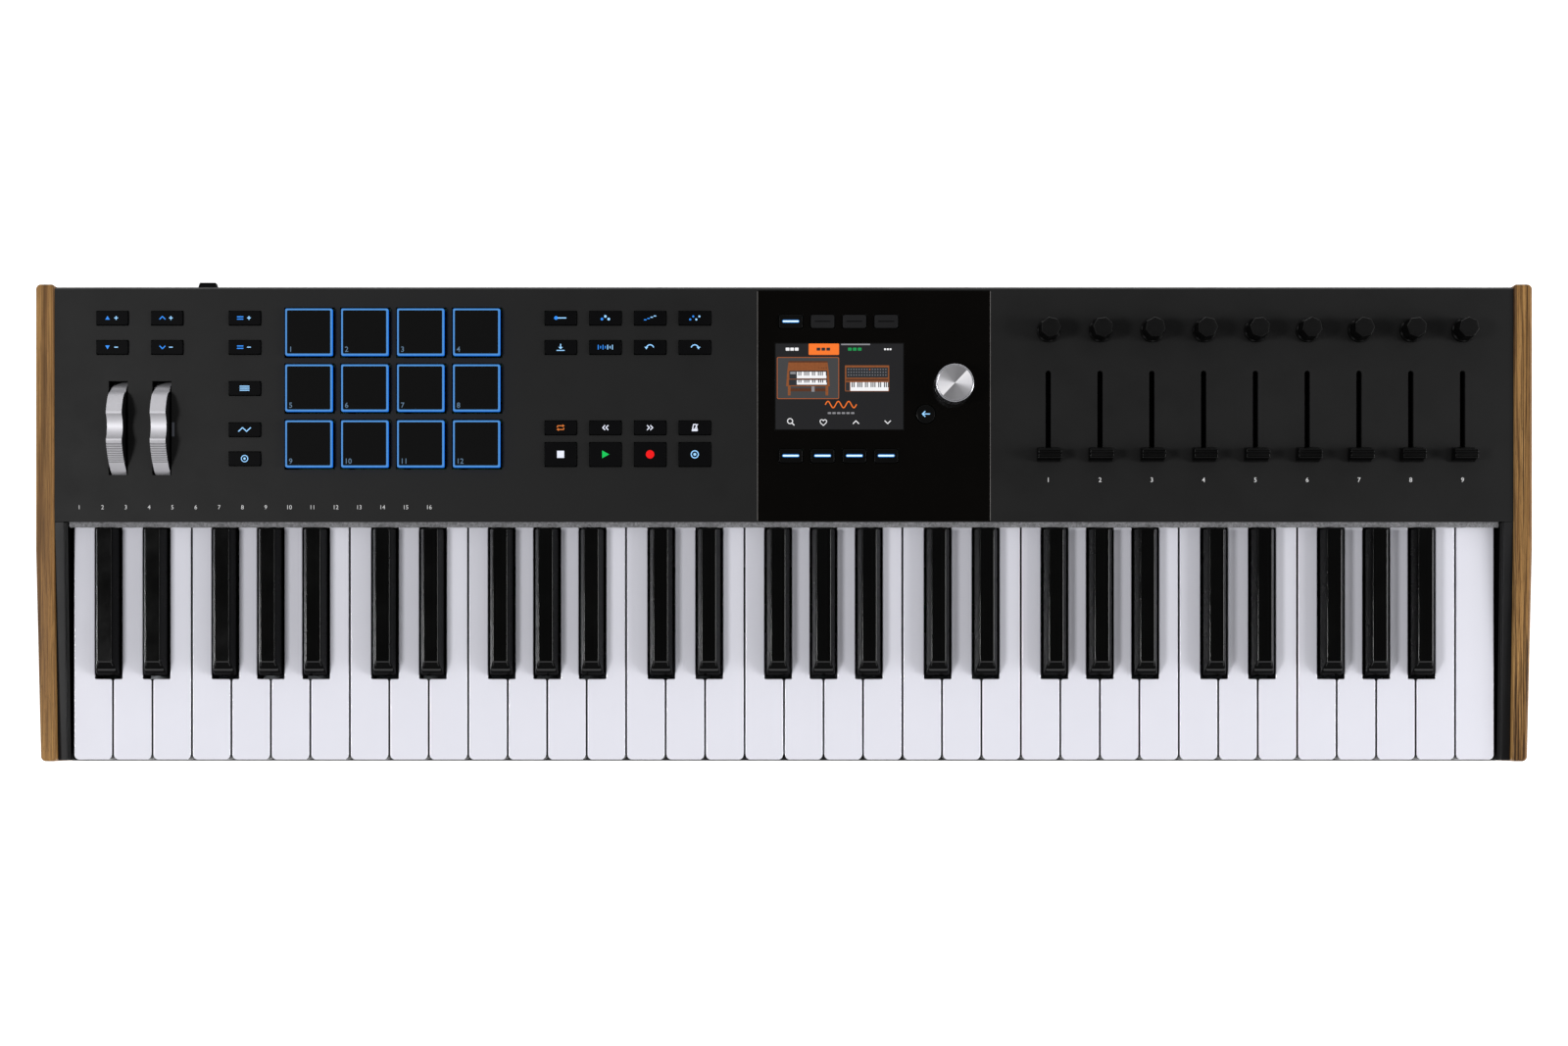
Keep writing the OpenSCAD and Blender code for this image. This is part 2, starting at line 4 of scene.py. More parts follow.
import bmesh
import bpy
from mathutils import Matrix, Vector


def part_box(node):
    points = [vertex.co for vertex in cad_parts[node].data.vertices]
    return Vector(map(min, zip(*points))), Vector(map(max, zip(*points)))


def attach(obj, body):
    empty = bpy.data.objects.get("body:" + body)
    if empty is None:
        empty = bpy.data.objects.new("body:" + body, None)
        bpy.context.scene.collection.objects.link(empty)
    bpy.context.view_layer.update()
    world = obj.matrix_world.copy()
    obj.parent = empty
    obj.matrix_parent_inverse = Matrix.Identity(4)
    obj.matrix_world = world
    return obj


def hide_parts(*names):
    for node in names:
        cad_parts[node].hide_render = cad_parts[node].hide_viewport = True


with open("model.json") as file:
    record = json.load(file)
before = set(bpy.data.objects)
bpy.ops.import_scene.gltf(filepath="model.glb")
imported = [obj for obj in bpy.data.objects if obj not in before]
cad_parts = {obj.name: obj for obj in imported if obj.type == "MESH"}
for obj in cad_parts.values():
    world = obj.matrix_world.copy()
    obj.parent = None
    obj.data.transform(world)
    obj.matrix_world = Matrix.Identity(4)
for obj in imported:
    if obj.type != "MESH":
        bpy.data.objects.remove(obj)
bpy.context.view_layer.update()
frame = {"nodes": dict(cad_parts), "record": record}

MM = 0.001
NODES = frame["nodes"]
RECORD = frame["record"]
BODY_OF = {n: b for b, ns in RECORD["behaviour"]["bodies"].items() for n in ns}
SLOT_OF = {s["node"]: s["material_slot"] for s in RECORD["subparts"]}
SHARP = radians(34)
TAU = 2 * pi


# -------- materials

def srgb(r, g, b):
    """An 8-bit screen colour as linear RGBA."""
    def one(v):
        v /= 255
        return v / 12.92 if v <= 0.04045 else ((v + 0.055) / 1.055) ** 2.4
    return (one(r), one(g), one(b), 1.0)


def grey(v):
    return (v, v, v, 1)


def scaled(c, k):
    return (min(c[0] * k, 1), min(c[1] * k, 1), min(c[2] * k, 1), 1)


M = {}


class Nodes:
    """A new material, kept in M by its name, with short calls for building its node tree."""

    def __init__(self, name):
        self.mat = M[name] = bpy.data.materials.new(name)
        self.mat.use_nodes = True
        self.tree = self.mat.node_tree
        self.tree.nodes.clear()
        self.out = self.add("ShaderNodeOutputMaterial")
        self.bsdf = self.add("ShaderNodeBsdfPrincipled")
        self.link(self.bsdf.outputs["BSDF"], self.out.inputs["Surface"])
        self.coord = self.add("ShaderNodeTexCoord").outputs["Object"]

    def add(self, kind, **values):
        n = self.tree.nodes.new(kind)
        for k, v in values.items():
            setattr(n, k, v)
        return n

    def link(self, a, b):
        self.tree.links.new(a, b)

    def put(self, socket, value):
        """Links a node's output to the socket, or sets a plain value on it."""
        if isinstance(value, bpy.types.NodeSocket):
            self.link(value, socket)
        else:
            socket.default_value = value

    def feed(self, kind, values, **settings):
        """A new node with values or links on its inputs, by their names."""
        node = self.add(kind, **settings)
        for name, value in values.items():
            self.put(node.inputs[name], value)
        return node

    def mapped(self, scale, rotation=(0, 0, 0), location=(0, 0, 0)):
        values = dict(Scale=scale, Rotation=rotation, Location=location, Vector=self.coord)
        return self.feed("ShaderNodeMapping", values).outputs["Vector"]

    def noise(self, scale, detail=3.0, rough=0.5, vector=None, distortion=0.0):
        vector = self.coord if vector is None else vector
        values = dict(Scale=scale, Detail=detail, Roughness=rough, Distortion=distortion, Vector=vector)
        return self.feed("ShaderNodeTexNoise", values).outputs["Fac"]

    def ramp(self, fac, stops):
        r = self.add("ShaderNodeValToRGB")
        e = r.color_ramp.elements
        e[0].position, e[0].color = stops[0]
        e[1].position, e[1].color = stops[-1]
        for pos, col in stops[1:-1]:
            k = e.new(pos)
            k.color = col
        self.link(fac, r.inputs["Fac"])
        return r.outputs["Color"]

    def shades(self, fac, colour, dark, light):
        """The colour made darker and lighter by the two factors."""
        return self.ramp(fac, [(0.3, scaled(colour, dark)), (0.7, scaled(colour, light))])

    def span(self, fac, lo, hi, from_lo=0.0, from_hi=1.0):
        values = {"From Min": from_lo, "From Max": from_hi, "To Min": lo, "To Max": hi, "Value": fac}
        return self.feed("ShaderNodeMapRange", values).outputs["Result"]

    def mix(self, fac, a, b, blend="MIX"):
        m = self.add("ShaderNodeMix", data_type="RGBA", blend_type=blend)
        for socket, value in ((m.inputs[0], fac), (m.inputs[6], a), (m.inputs[7], b)):
            self.put(socket, value)
        return m.outputs[2]

    def math(self, op, a, b=0.0):
        m = self.add("ShaderNodeMath", operation=op)
        self.put(m.inputs[0], a)
        self.put(m.inputs[1], b)
        return m.outputs[0]

    def bump(self, height, distance, strength=1.0, chain=None):
        values = dict(Distance=distance, Strength=strength, Height=height)
        if chain is not None:
            values["Normal"] = chain
        return self.feed("ShaderNodeBump", values).outputs["Normal"]

    def set(self, name, value):
        self.put(self.bsdf.inputs[name], value)


def plastic(name, colour, rough, vary, grain, depth, specular):
    """Moulded plastic: fine grain in the surface, soft blotches in gloss and tone."""
    n = Nodes(name)
    blotch = n.noise(38.0, 4.0, 0.6)
    fine = n.noise(grain, 2.0, 0.5)
    base = n.shades(blotch, colour, 1 - vary, 1 + vary)
    n.set("Base Color", base)
    n.set("Roughness", n.span(blotch, rough - 0.04, rough + 0.05, 0.3, 0.7))
    n.set("Normal", n.bump(fine, depth))
    n.set("Specular IOR Level", specular)


def metal(name, colour, rough, brushed=(1, 60, 60)):
    """Metal with a fine directional grain."""
    n = Nodes(name)
    streak = n.noise(60.0, 5.0, 0.6, n.mapped(brushed))
    base = n.shades(streak, colour, 0.86, 1.08)
    n.set("Base Color", base)
    n.set("Metallic", 1.0)
    n.set("Roughness", n.span(streak, rough - 0.06, rough + 0.1, 0.3, 0.7))
    n.set("Normal", n.bump(streak, 0.00001))


def glow(name, colour, strength, vary=0.06, paint=0.15):
    """A lit symbol or line, a little uneven as light through print is."""
    n = Nodes(name)
    soft = n.noise(900.0, 2.0, 0.5)
    tone = n.shades(soft, colour, 1 - vary, 1 + vary)
    n.set("Base Color", n.shades(soft, colour, paint, paint * 1.2))
    n.set("Roughness", 0.4)
    n.set("Specular IOR Level", 0.3)
    n.set("Emission Color", tone)
    n.set("Emission Strength", strength)


def wood(name, shift, line_gain, cloud_gain, figure=0.0):
    """Light brown wood, its grain front to back, with bands, thin dark lines, curved figure and pores."""
    n = Nodes(name)
    warp = n.noise(1.6, 3.0, 0.5, n.mapped((46.0, 9.0, 20.0), location=shift), 0.8)
    bands = n.noise(2.0, 6.0, 0.62, n.mapped((95.0, 2.6, 60.0), location=shift), 0.7)
    lines = n.noise(3.4, 5.0, 0.7, n.mapped((300.0, 1.6, 120.0), location=shift), 0.25)
    streaks = n.noise(4.0, 4.0, 0.65, n.mapped((330.0, 6.0, 200.0), location=shift), 0.15)
    pores = n.noise(14.0, 3.0, 0.6, n.mapped((300.0, 16.0, 300.0), location=shift), 0.2)
    base = n.ramp(bands, [
        (0.24, srgb(116, 82, 44)), (0.42, srgb(138, 101, 57)), (0.56, srgb(154, 116, 68)),
        (0.70, srgb(168, 130, 80)), (0.88, srgb(146, 108, 61))
    ])
    tone = n.ramp(lines, [
        (0.42, (0.20, 0.17, 0.14, 1)), (0.485, (0.94, 0.93, 0.91, 1)), (0.7, (1.10, 1.09, 1.06, 1))
    ])
    base = n.mix(line_gain, base, tone, "MULTIPLY")
    fine = n.ramp(streaks, [
        (0.40, (0.50, 0.46, 0.42, 1)), (0.52, grey(1.0)), (0.7, (1.12, 1.11, 1.08, 1))
    ])
    base = n.mix(0.55 + 0.45 * line_gain, base, fine, "MULTIPLY")
    if figure:
        lie = n.mapped((1.0, 0.35, 0.6), (0, 0, radians(5)), shift)
        wave = n.feed("ShaderNodeTexWave", {
            "Scale": 15.0, "Distortion": 2.6, "Detail": 2.0, "Detail Scale": 0.5, "Vector": lie
        }, wave_type="BANDS", bands_direction="X", wave_profile="SIN")
        curve = n.ramp(wave.outputs["Fac"], [
            (0.0, (0.52, 0.47, 0.42, 1)), (0.045, (0.70, 0.66, 0.62, 1)),
            (0.10, grey(1.0)), (1.0, (1.04, 1.03, 1.0, 1))
        ])
        base = n.mix(figure, base, curve, "MULTIPLY")
    cloud = n.ramp(warp, [(0.34, (0.66, 0.63, 0.58, 1)), (0.6, (1.05, 1.04, 1.0, 1))])
    base = n.mix(cloud_gain, base, cloud, "MULTIPLY")
    base = n.mix(n.span(pores, 0.0, 0.85, 0.60, 0.70), base, srgb(86, 58, 32))
    n.set("Base Color", base)
    n.set("Roughness", n.span(bands, 0.44, 0.6, 0.3, 0.7))
    n.set("Normal", n.bump(pores, 0.00010, 0.5, n.bump(lines, 0.00008, 0.4)))
    n.set("Specular IOR Level", 0.2)


def felt(name, colour):
    """Grey felt: clumped fibres with a soft sheen."""
    n = Nodes(name)
    fuzz = n.noise(2600.0, 4.0, 0.8)
    clump = n.noise(700.0, 4.0, 0.75, None, 0.8)
    base = n.ramp(clump, [(0.36, scaled(colour, 0.42)), (0.64, scaled(colour, 1.5))])
    n.set("Base Color", base)
    n.set("Roughness", n.span(fuzz, 0.85, 1.0))
    n.set("Sheen Weight", 0.4)
    n.set("Sheen Roughness", 0.6)
    n.set("Normal", n.bump(fuzz, 0.0004, 0.8, n.bump(clump, 0.0005, 0.7)))


def spun_metal(name, colour):
    """Turned metal: two painted highlight wedges in the colour across the face, over very fine rings, with
    gloss stretched round the axis.
    """
    n = Nodes(name)
    rings = n.feed("ShaderNodeTexWave", dict(Scale=520.0, Vector=n.coord),
                   wave_type="RINGS", rings_direction="Z", wave_profile="SIN").outputs["Fac"]
    # the bright wedges are painted highlights: a radial gradient in the colour, turned by 48 degrees and
    # repeated twice round the face
    turned = n.mapped((1, 1, 1), (0, 0, radians(-48)))
    cone = n.add("ShaderNodeTexGradient", gradient_type="RADIAL")
    n.link(turned, cone.inputs["Vector"])
    half_turn = n.math("FRACT", n.math("MULTIPLY", cone.outputs["Fac"], 2.0))
    painted_highlight_wedges = n.ramp(half_turn, [(at, scaled(colour, k)) for at, k in (
        (0.0, 0.34), (0.15, 0.33), (0.42, 0.42), (0.58, 0.70), (0.72, 1.35), (0.985, 1.62), (1.0, 0.40)
    )])
    fine = n.ramp(rings, [(0.0, grey(0.95)), (1.0, grey(1.0))])
    n.set("Base Color", n.mix(1.0, painted_highlight_wedges, fine, "MULTIPLY"))
    n.set("Metallic", 0.25)
    n.set("Roughness", n.span(rings, 0.40, 0.44))
    n.set("Anisotropic", 0.6)
    round_axis = n.add("ShaderNodeTangent", direction_type="RADIAL", axis="Z")
    n.link(round_axis.outputs["Tangent"], n.bsdf.inputs["Tangent"])


# ribs on the player's side of the wheels: number, the turn that each takes, where they start
RIBS, RIB_TURN, RIB_START = 9, 0.046, 0.315


def wheel_plastic(name, colour):
    """Silver plastic with painted shading: a painted highlight in the middle of the finger hollow and thin
    ones on its ridges, painted shade at its two edges and between the ribs.
    """
    n = Nodes(name)
    split = n.add("ShaderNodeSeparateXYZ")
    n.link(n.coord, split.inputs["Vector"])
    along, up = split.outputs["Y"], split.outputs["Z"]
    turn = n.math("ARCTAN2", along, up)
    # painted shading by angle round the wheel: painted highlights in the hollow's middle and on the ridges,
    # painted shade beside the ridges
    hollow = n.ramp(n.span(turn, 0.0, 1.0, -0.42, 0.42), [
        (0.0, grey(0.82)), (0.17, grey(0.76)), (0.205, grey(1.25)),
        (0.225, grey(0.62)), (0.36, grey(0.98)), (0.50, grey(1.60)),
        (0.64, grey(1.02)), (0.775, grey(0.60)), (0.80, grey(1.25)),
        (0.84, grey(0.92)), (1.0, grey(0.96))
    ])
    # painted shade in the grooves between the ribs
    rib = n.math("COSINE", n.math("MULTIPLY", n.math("ADD", turn, RIB_START), TAU / RIB_TURN))
    inside = n.math("MULTIPLY", n.math("LESS_THAN", turn, -RIB_START),
                    n.math("GREATER_THAN", turn, -RIB_START - RIBS * RIB_TURN))
    groove = n.math("MULTIPLY", inside, n.math("MULTIPLY", n.math("SUBTRACT", 1.0, rib), 0.5))
    soft = n.noise(46.0, 4.0, 0.6)
    base = n.shades(soft, colour, 0.97, 1.03)
    base = n.mix(1.0, base, hollow, "MULTIPLY")
    base = n.mix(groove, base, scaled(colour, 0.36))
    n.set("Base Color", base)
    n.set("Roughness", n.span(soft, 0.27, 0.35, 0.3, 0.7))
    n.set("Normal", n.bump(n.noise(1500.0, 2.0, 0.5), 0.000008))


# colour, roughness, unevenness of tone, scale of the grain, its depth in metres, specular level
PLASTICS = {
    "panel_satin": ((12, 12, 12), 0.56, 0.04, 2200, 1e-5, 0.27),
    "end_block_black": ((22, 22, 23), 0.45, 0.06, 1800, 1.2e-5, 0.27),
    "pan_black": ((27, 27, 29), 0.55, 0.08, 1500, 3e-5, 0.4),
    "gloss_black": ((6, 5, 4), 0.07, 0.08, 300, 1e-6, 0.5),
    "display_bezel": ((10, 10, 11), 0.12, 0.08, 300, 1e-6, 0.5),
    "key_white": ((228, 228, 237), 0.12, 0.008, 500, 3e-6, 0.5),
    # white key sides: a dark grey as painted shade in the gaps between keys
    "key_white_side_shade": ((30, 30, 32), 0.5, 0.05, 500, 3e-6, 0.06),
    # black key sides and front slope: a duller, darker copy of the black key as painted shade
    "key_black_side_shade": ((3, 3, 3), 0.28, 0.1, 1800, 2e-6, 0.04),
    "key_black": ((4, 4, 4), 0.10, 0.1, 1800, 2e-6, 0.7),
    "button_black": ((4, 4, 5), 0.5, 0.08, 1900, 1e-5, 0.06),
    "button_unlit": ((26, 26, 27), 0.5, 0.06, 1900, 1e-5, 0.12),
    "button_gloss_black": ((7, 7, 7), 0.3, 0.08, 1900, 1e-5, 0.16),
    "fader_black": ((9, 9, 9), 0.28, 0.1, 1900, 1e-5, 0.26),
    "knob_rubber": ((10, 10, 10), 0.34, 0.1, 1600, 1e-5, 0.28),
    # knob sides: a darker, duller copy of the knob as painted shade
    "knob_side_shade": ((4, 4, 4), 0.4, 0.1, 1600, 1e-5, 0.05),
    # fader cap sides: a darker, duller copy of the cap as painted shade
    "fader_side_shade": ((3, 3, 3), 0.4, 0.1, 1900, 1e-5, 0.05),
    "pad_rubber": ((7, 7, 7), 0.62, 0.08, 1300, 3e-5, 0.07),
    "wheel_side_black": ((10, 10, 11), 0.35, 0.08, 1500, 1e-5, 0.5),
    "track_black": ((5, 5, 5), 0.5, 0.1, 1500, 1e-5, 0.1),
    "board_green": ((18, 74, 48), 0.35, 0.15, 800, 1e-5, 0.5),
    "foot_rubber": ((22, 22, 22), 0.8, 0.15, 900, 6e-5, 0.3),
    "socket_black": ((24, 24, 26), 0.42, 0.1, 1200, 2e-5, 0.45),
    # pale lines at the glass panel's edges: painted highlights
    "edge_highlight_line": ((104, 101, 99), 0.4, 0.1, 900, 1e-5, 0.3),
    # end block faces towards the keys: near black as painted shade
    "gap_painted_shade": ((3, 3, 3), 0.6, 0.1, 900, 1e-5, 0.03),
}

# colour, strength, unevenness of tone, share of the colour that is paint
LIGHTS = {
    "pad_rim_light": ((74, 138, 204), 0.85, 0.05, 0.2),
    "pad_wall_light": ((20, 112, 222), 0.95, 0.05, 0.2),
    "pad_number": ((96, 124, 150), 0.8),
    # printed numbers that also glow: print with a painted glow, no lamp behind it
    "panel_print_glow": ((206, 206, 206), 0.5, 0.04, 0.5),
    "label_light": ((150, 206, 255), 1.05),
    "label_blue": ((44, 138, 240), 1.0),
    "label_bar": ((214, 242, 255), 1.2),
    "label_halo": ((22, 112, 190), 0.9),
    "white_light": ((226, 230, 244), 0.95),
    "green_light": ((10, 190, 84), 0.95),
    "red_light": ((232, 14, 16), 0.95),
    "orange_light": ((216, 120, 52), 0.9),
    "screen_back": ((29, 29, 31), 1.0, 0.02, 0.0),
    "screen_tile": ((66, 66, 67), 1.0, 0.02, 0.0),
    "screen_orange": ((252, 122, 44), 1.0, 0.02, 0.0),
    "screen_frame": ((172, 92, 48), 1.0, 0.04, 0.0),
    "screen_white": ((236, 236, 238), 1.1, 0.02, 0.0),
    "screen_grey": ((142, 142, 146), 1.0, 0.03, 0.0),
    "screen_green": ((24, 150, 78), 1.0, 0.03, 0.0),
    "screen_wood": ((140, 80, 42), 1.0, 0.10, 0.0),
    "screen_wood_dark": ((88, 50, 30), 1.0, 0.08, 0.0),
    "screen_dark": ((44, 46, 50), 1.0, 0.04, 0.0),
    "wheel_mark": ((70, 72, 78), 0.5),
}

for name, (colour, *look) in PLASTICS.items():
    plastic(name, srgb(*colour), *look)
for name, (colour, *look) in LIGHTS.items():
    glow(name, srgb(*colour), *look)
wood("cheek_wood_left", (3.1, 0.4, 1.7), 0.4, 0.3, 0.9)
wood("cheek_wood_right", (7.7, 2.9, 5.3), 1.0, 0.35)
felt("strip_felt", srgb(120, 120, 123))
wheel_plastic("wheel_silver", srgb(196, 195, 200))
spun_metal("dial_spun", srgb(205, 204, 208))
metal("dial_side", srgb(190, 190, 195), 0.24, (60, 60, 1))
metal("steel", srgb(170, 173, 178), 0.34)
metal("dark_metal", srgb(92, 94, 98), 0.4)


# -------- mesh helpers

class Shape:
    """Collects verts and faces in millimetres, then makes one Blender object in metres."""

    def __init__(self):
        self.v, self.f, self.m = [], [], []

    def add(self, verts, faces, m=0):
        base = len(self.v)
        self.v += [tuple(p) for p in verts]
        self.f += [tuple(base + i for i in f) for f in faces]
        self.m += [m] * len(faces)

    def loft(self, rings, m=0, caps=None, open_top=False):
        """Joins closed rings of equal length and closes both ends, in the material caps if it is given."""
        n = len(rings[0])
        faces = []
        for k in range(len(rings) - 1):
            a, b = k * n, (k + 1) * n
            faces += [(a + i, a + (i + 1) % n, b + (i + 1) % n, b + i) for i in range(n)]
        base = len(self.v)
        self.add([p for r in rings for p in r], faces, m)
        self.f.append(tuple(base + i for i in reversed(range(n))))
        self.m.append(m if caps is None else caps)
        if not open_top:
            top = base + (len(rings) - 1) * n
            self.f.append(tuple(top + i for i in range(n)))
            self.m.append(m if caps is None else caps)

    def make(self, name, body, mats, slot, origin=(0, 0, 0), smooth=True, stands_for=(), walls=None):
        """Faces whose normal answers to walls take the second material."""
        mesh = bpy.data.meshes.new(name)
        ox, oy, oz = origin
        mesh.from_pydata([((x - ox) * MM, (y - oy) * MM, (z - oz) * MM) for x, y, z in self.v], [], self.f)
        for p, m in zip(mesh.polygons, self.m):
            p.material_index = m
        bm = bmesh.new()
        bm.from_mesh(mesh)
        bmesh.ops.recalc_face_normals(bm, faces=bm.faces)
        soften(bm, smooth)
        if walls:
            for f in bm.faces:
                if walls(f.normal):
                    f.material_index = 1
        bm.to_mesh(mesh)
        bm.free()
        place(name, mesh, mats, body, stands_for, origin)

    def stand_in(self, node, ending, mats, **more):
        """Makes the shape in place of a CAD node, on the node's body."""
        self.make(node + ending, BODY_OF[node], mats, SLOT_OF[node], stands_for=[node], **more)


def in_scene(name, data):
    """A new object in the scene's own collection."""
    obj = bpy.data.objects.new(name, data)
    bpy.context.scene.collection.objects.link(obj)
    return obj


def place(name, mesh, mats, body, stands_for, origin=(0, 0, 0)):
    """Puts a mesh on a body; flat faces keep their own normal, so shading stays even beside round edges."""
    for key in mats:
        mesh.materials.append(M[key])
    obj = in_scene(name, mesh)
    obj.location = [v * MM for v in origin]
    even = obj.modifiers.new("even_normals", "WEIGHTED_NORMAL")
    even.keep_sharp = True
    even.weight = 100
    bpy.context.view_layer.update()
    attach(obj, body)
    if stands_for:
        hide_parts(*stands_for)


def soften(bm, smooth=True):
    """Smooth shading, broken at every edge sharper than SHARP and at open edges."""
    for f in bm.faces:
        f.smooth = smooth
    for e in bm.edges:
        if len(e.link_faces) == 2:
            e.smooth = e.calc_face_angle(0) < SHARP
        else:
            e.smooth = False


def offset_poly(pts, d):
    """An anticlockwise polygon moved in by d along each side's normal."""
    n = len(pts)
    out = []
    for i in range(n):
        p0, p1, p2 = pts[i - 1], pts[i], pts[(i + 1) % n]
        a = Vector((p1[0] - p0[0], p1[1] - p0[1])).normalized()
        b = Vector((p2[0] - p1[0], p2[1] - p1[1])).normalized()
        na, nb = Vector((-a.y, a.x)), Vector((-b.y, b.x))
        k = 1 + na.dot(nb)
        m = (na + nb) / max(k, 0.2)
        out.append((p1[0] + m.x * d, p1[1] + m.y * d))
    return out


def round_poly(pts, radii, seg=4):
    """Each corner becomes an arc of seg steps; a radius of 0 still gives seg + 1 points, so rings match."""
    n = len(pts)
    out = []
    for i in range(n):
        p0, p1, p2 = Vector(pts[i - 1]), Vector(pts[i]), Vector(pts[(i + 1) % n])
        r = radii[i] if isinstance(radii, (list, tuple)) else radii
        a, b = (p0 - p1).normalized(), (p2 - p1).normalized()
        ang = a.angle(b)
        r = max(r, 0.01)
        t = min(r / tan(ang / 2), (p0 - p1).length * 0.49, (p2 - p1).length * 0.49)
        r = t * tan(ang / 2)
        c = p1 + (a + b).normalized() * (r / sin(ang / 2))
        s, e = p1 + a * t, p1 + b * t
        a0 = atan2(s.y - c.y, s.x - c.x)
        a1 = atan2(e.y - c.y, e.x - c.x)
        turn = (a1 - a0 + pi) % TAU - pi
        for k in range(seg + 1):
            th = a0 + turn * k / seg
            out.append((c.x + r * cos(th), c.y + r * sin(th)))
    return out


def rect(x, y, w, d):
    return [(x - w / 2, y - d / 2), (x + w / 2, y - d / 2), (x + w / 2, y + d / 2), (x - w / 2, y + d / 2)]


def fillet_levels(z0, z1, r, steps=4):
    """(z, inset) pairs for a straight side with a rounded top edge."""
    out = [(z0, 0.0), (z1 - r, 0.0)]
    for k in range(1, steps + 1):
        th = pi / 2 * k / steps
        out.append((z1 - r + r * sin(th), r * (1 - cos(th))))
    return out


def tablet(shape, pts, radius, levels, m=0, seg=4):
    """A polygon raised through (z, inset) levels, its corners rounded."""
    rings = []
    for z, inset in levels:
        q = offset_poly(pts, inset)
        rings.append(level(round_poly(q, max(radius - inset, 0.05), seg), z))
    shape.loft(rings, m)


def slab_x(shape, pts, x0, x1, edge=0.3):
    """A YZ profile, anticlockwise seen from +X, given width along X, with small slanted edges."""
    rings = []
    for x, inset in [(x0, edge), (x0 + edge, 0), (x1 - edge, 0), (x1, edge)]:
        rings.append([(x, y, z) for y, z in (offset_poly(pts, inset) if inset else pts)])
    shape.loft(rings)


def level(pts, z):
    return [(x, y, z) for x, y in pts]


def circle(x, y, r, steps):
    return [(x + r * cos(TAU * k / steps), y + r * sin(TAU * k / steps)) for k in range(steps)]


def lathe(shape, cx, cy, profile, steps, m):
    """(radius, z) pairs turned about a vertical axis."""
    shape.loft([level(circle(cx, cy, r, steps), z) for r, z in profile], m)


def from_cad(node, mats, bevel, segments, angle, walls=None):
    """A cleaned copy of a CAD node, edges sharper than angle (degrees) rounded by bevel (millimetres)."""
    bm = bmesh.new()
    bm.from_mesh(NODES[node].data)
    bmesh.ops.remove_doubles(bm, verts=bm.verts, dist=2e-6)
    bmesh.ops.dissolve_limit(bm, angle_limit=radians(0.6), verts=bm.verts, edges=bm.edges)
    sharp = [e for e in bm.edges if len(e.link_faces) == 2 and e.calc_face_angle(0) > radians(angle)]
    bmesh.ops.bevel(bm, geom=sharp, offset=bevel * MM, segments=segments, profile=0.5, affect="EDGES",
                    clamp_overlap=True)
    for f in bm.faces:
        f.material_index = 1 if walls and walls(f.normal, f.calc_center_median() / MM) else 0
    soften(bm)
    name = node + "_looks"
    mesh = bpy.data.meshes.new(name)
    bm.to_mesh(mesh)
    bm.free()
    place(name, mesh, mats, BODY_OF[node], [node])


def node_mm(node):
    """A node's lowest and highest corners at rest, in millimetres."""
    lo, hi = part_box(node)
    return [v / MM for v in lo], [v / MM for v in hi]


def repaint(node, key):
    """A CAD node that is seen as it is, in a material from here."""
    materials = NODES[node].data.materials
    materials.clear()
    materials.append(M[key])


# -------- sizes taken from the frame

PANEL_Z = node_mm("display_module")[1][2]
KEY_FRONT, KEY_TOP = node_mm("key_c")[0][1], node_mm("key_c")[1][2]
BLACK_TOP = node_mm("key_c_sharp")[1][2]
BTN_TOP = node_mm("left_buttons")[1][2]
PAD_TOP = node_mm("pads_row_1")[1][2]

# keys; NOTCH is the room left for a black key on either side of its middle
OCTAVES = 5
PITCH = 23.5
GAP = 1.0
KEY_X0 = -18 * PITCH
KEY_BOT = 32.0
NOTCH_Y = -93.0
NOTCH = 8.1
BLACK_FRONT, BLACK_REAR = -91.2, -4.2
SHARP_AT = [1, 2, 4, 5, 6]
SHARP_SHIFT = [-2.5, 2.5, -3.5, 0.0, 3.5]
# the black key at each white key's left and right side, -1 for none
LEFT_SHARP = [-1, 0, 1, -1, 2, 3, 4]
RIGHT_SHARP = [0, 1, -1, 2, 3, 4, -1]

# control panel
ROW_A, ROW_B, ROW_C, ROW_D, ROW_E = 120.4, 103.1, 78.8, 54.4, 37.2
COL_A, COL_B, COL_C = -397.6, -365.2, -319.2
BTN_W, BTN_D = 18.6, 8.2
MID_X, MID_PITCH, SMALL_ROW, LARGE_ROW, LARGE_D = -132.2, 26.47, 55.5, 39.7, 14.2
PAD_X, PAD_PITCH, PAD_ROW, PAD_W = -280.9, 33.05, 111.8, 29.3
SOFT_X, SOFT_PITCH, SOFT_W, SOFT_D = 4.0, 18.83, 13.8, 7.7
SOFT_ROWS = [118.4, 38.9]
SCREEN_X, SCREEN_Y, SCREEN_W, SCREEN_D = 32.8, 80.0, 76.2, 51.4
DIAL_X, DIAL_Y = 100.4, 80.5
BACK_X, BACK_Y, BACK_R = 83.9, 63.6, 5.5
STRIP_X, STRIP_PITCH, STRIP_N, KNOB_Y = 156.5, 30.67, 9, 112.9
BTN_BASE = 50.2


def sharp_x(octave, i):
    """The middle of a black key."""
    return KEY_X0 + (octave * 7 + SHARP_AT[i]) * PITCH + SHARP_SHIFT[i]


# -------- keys

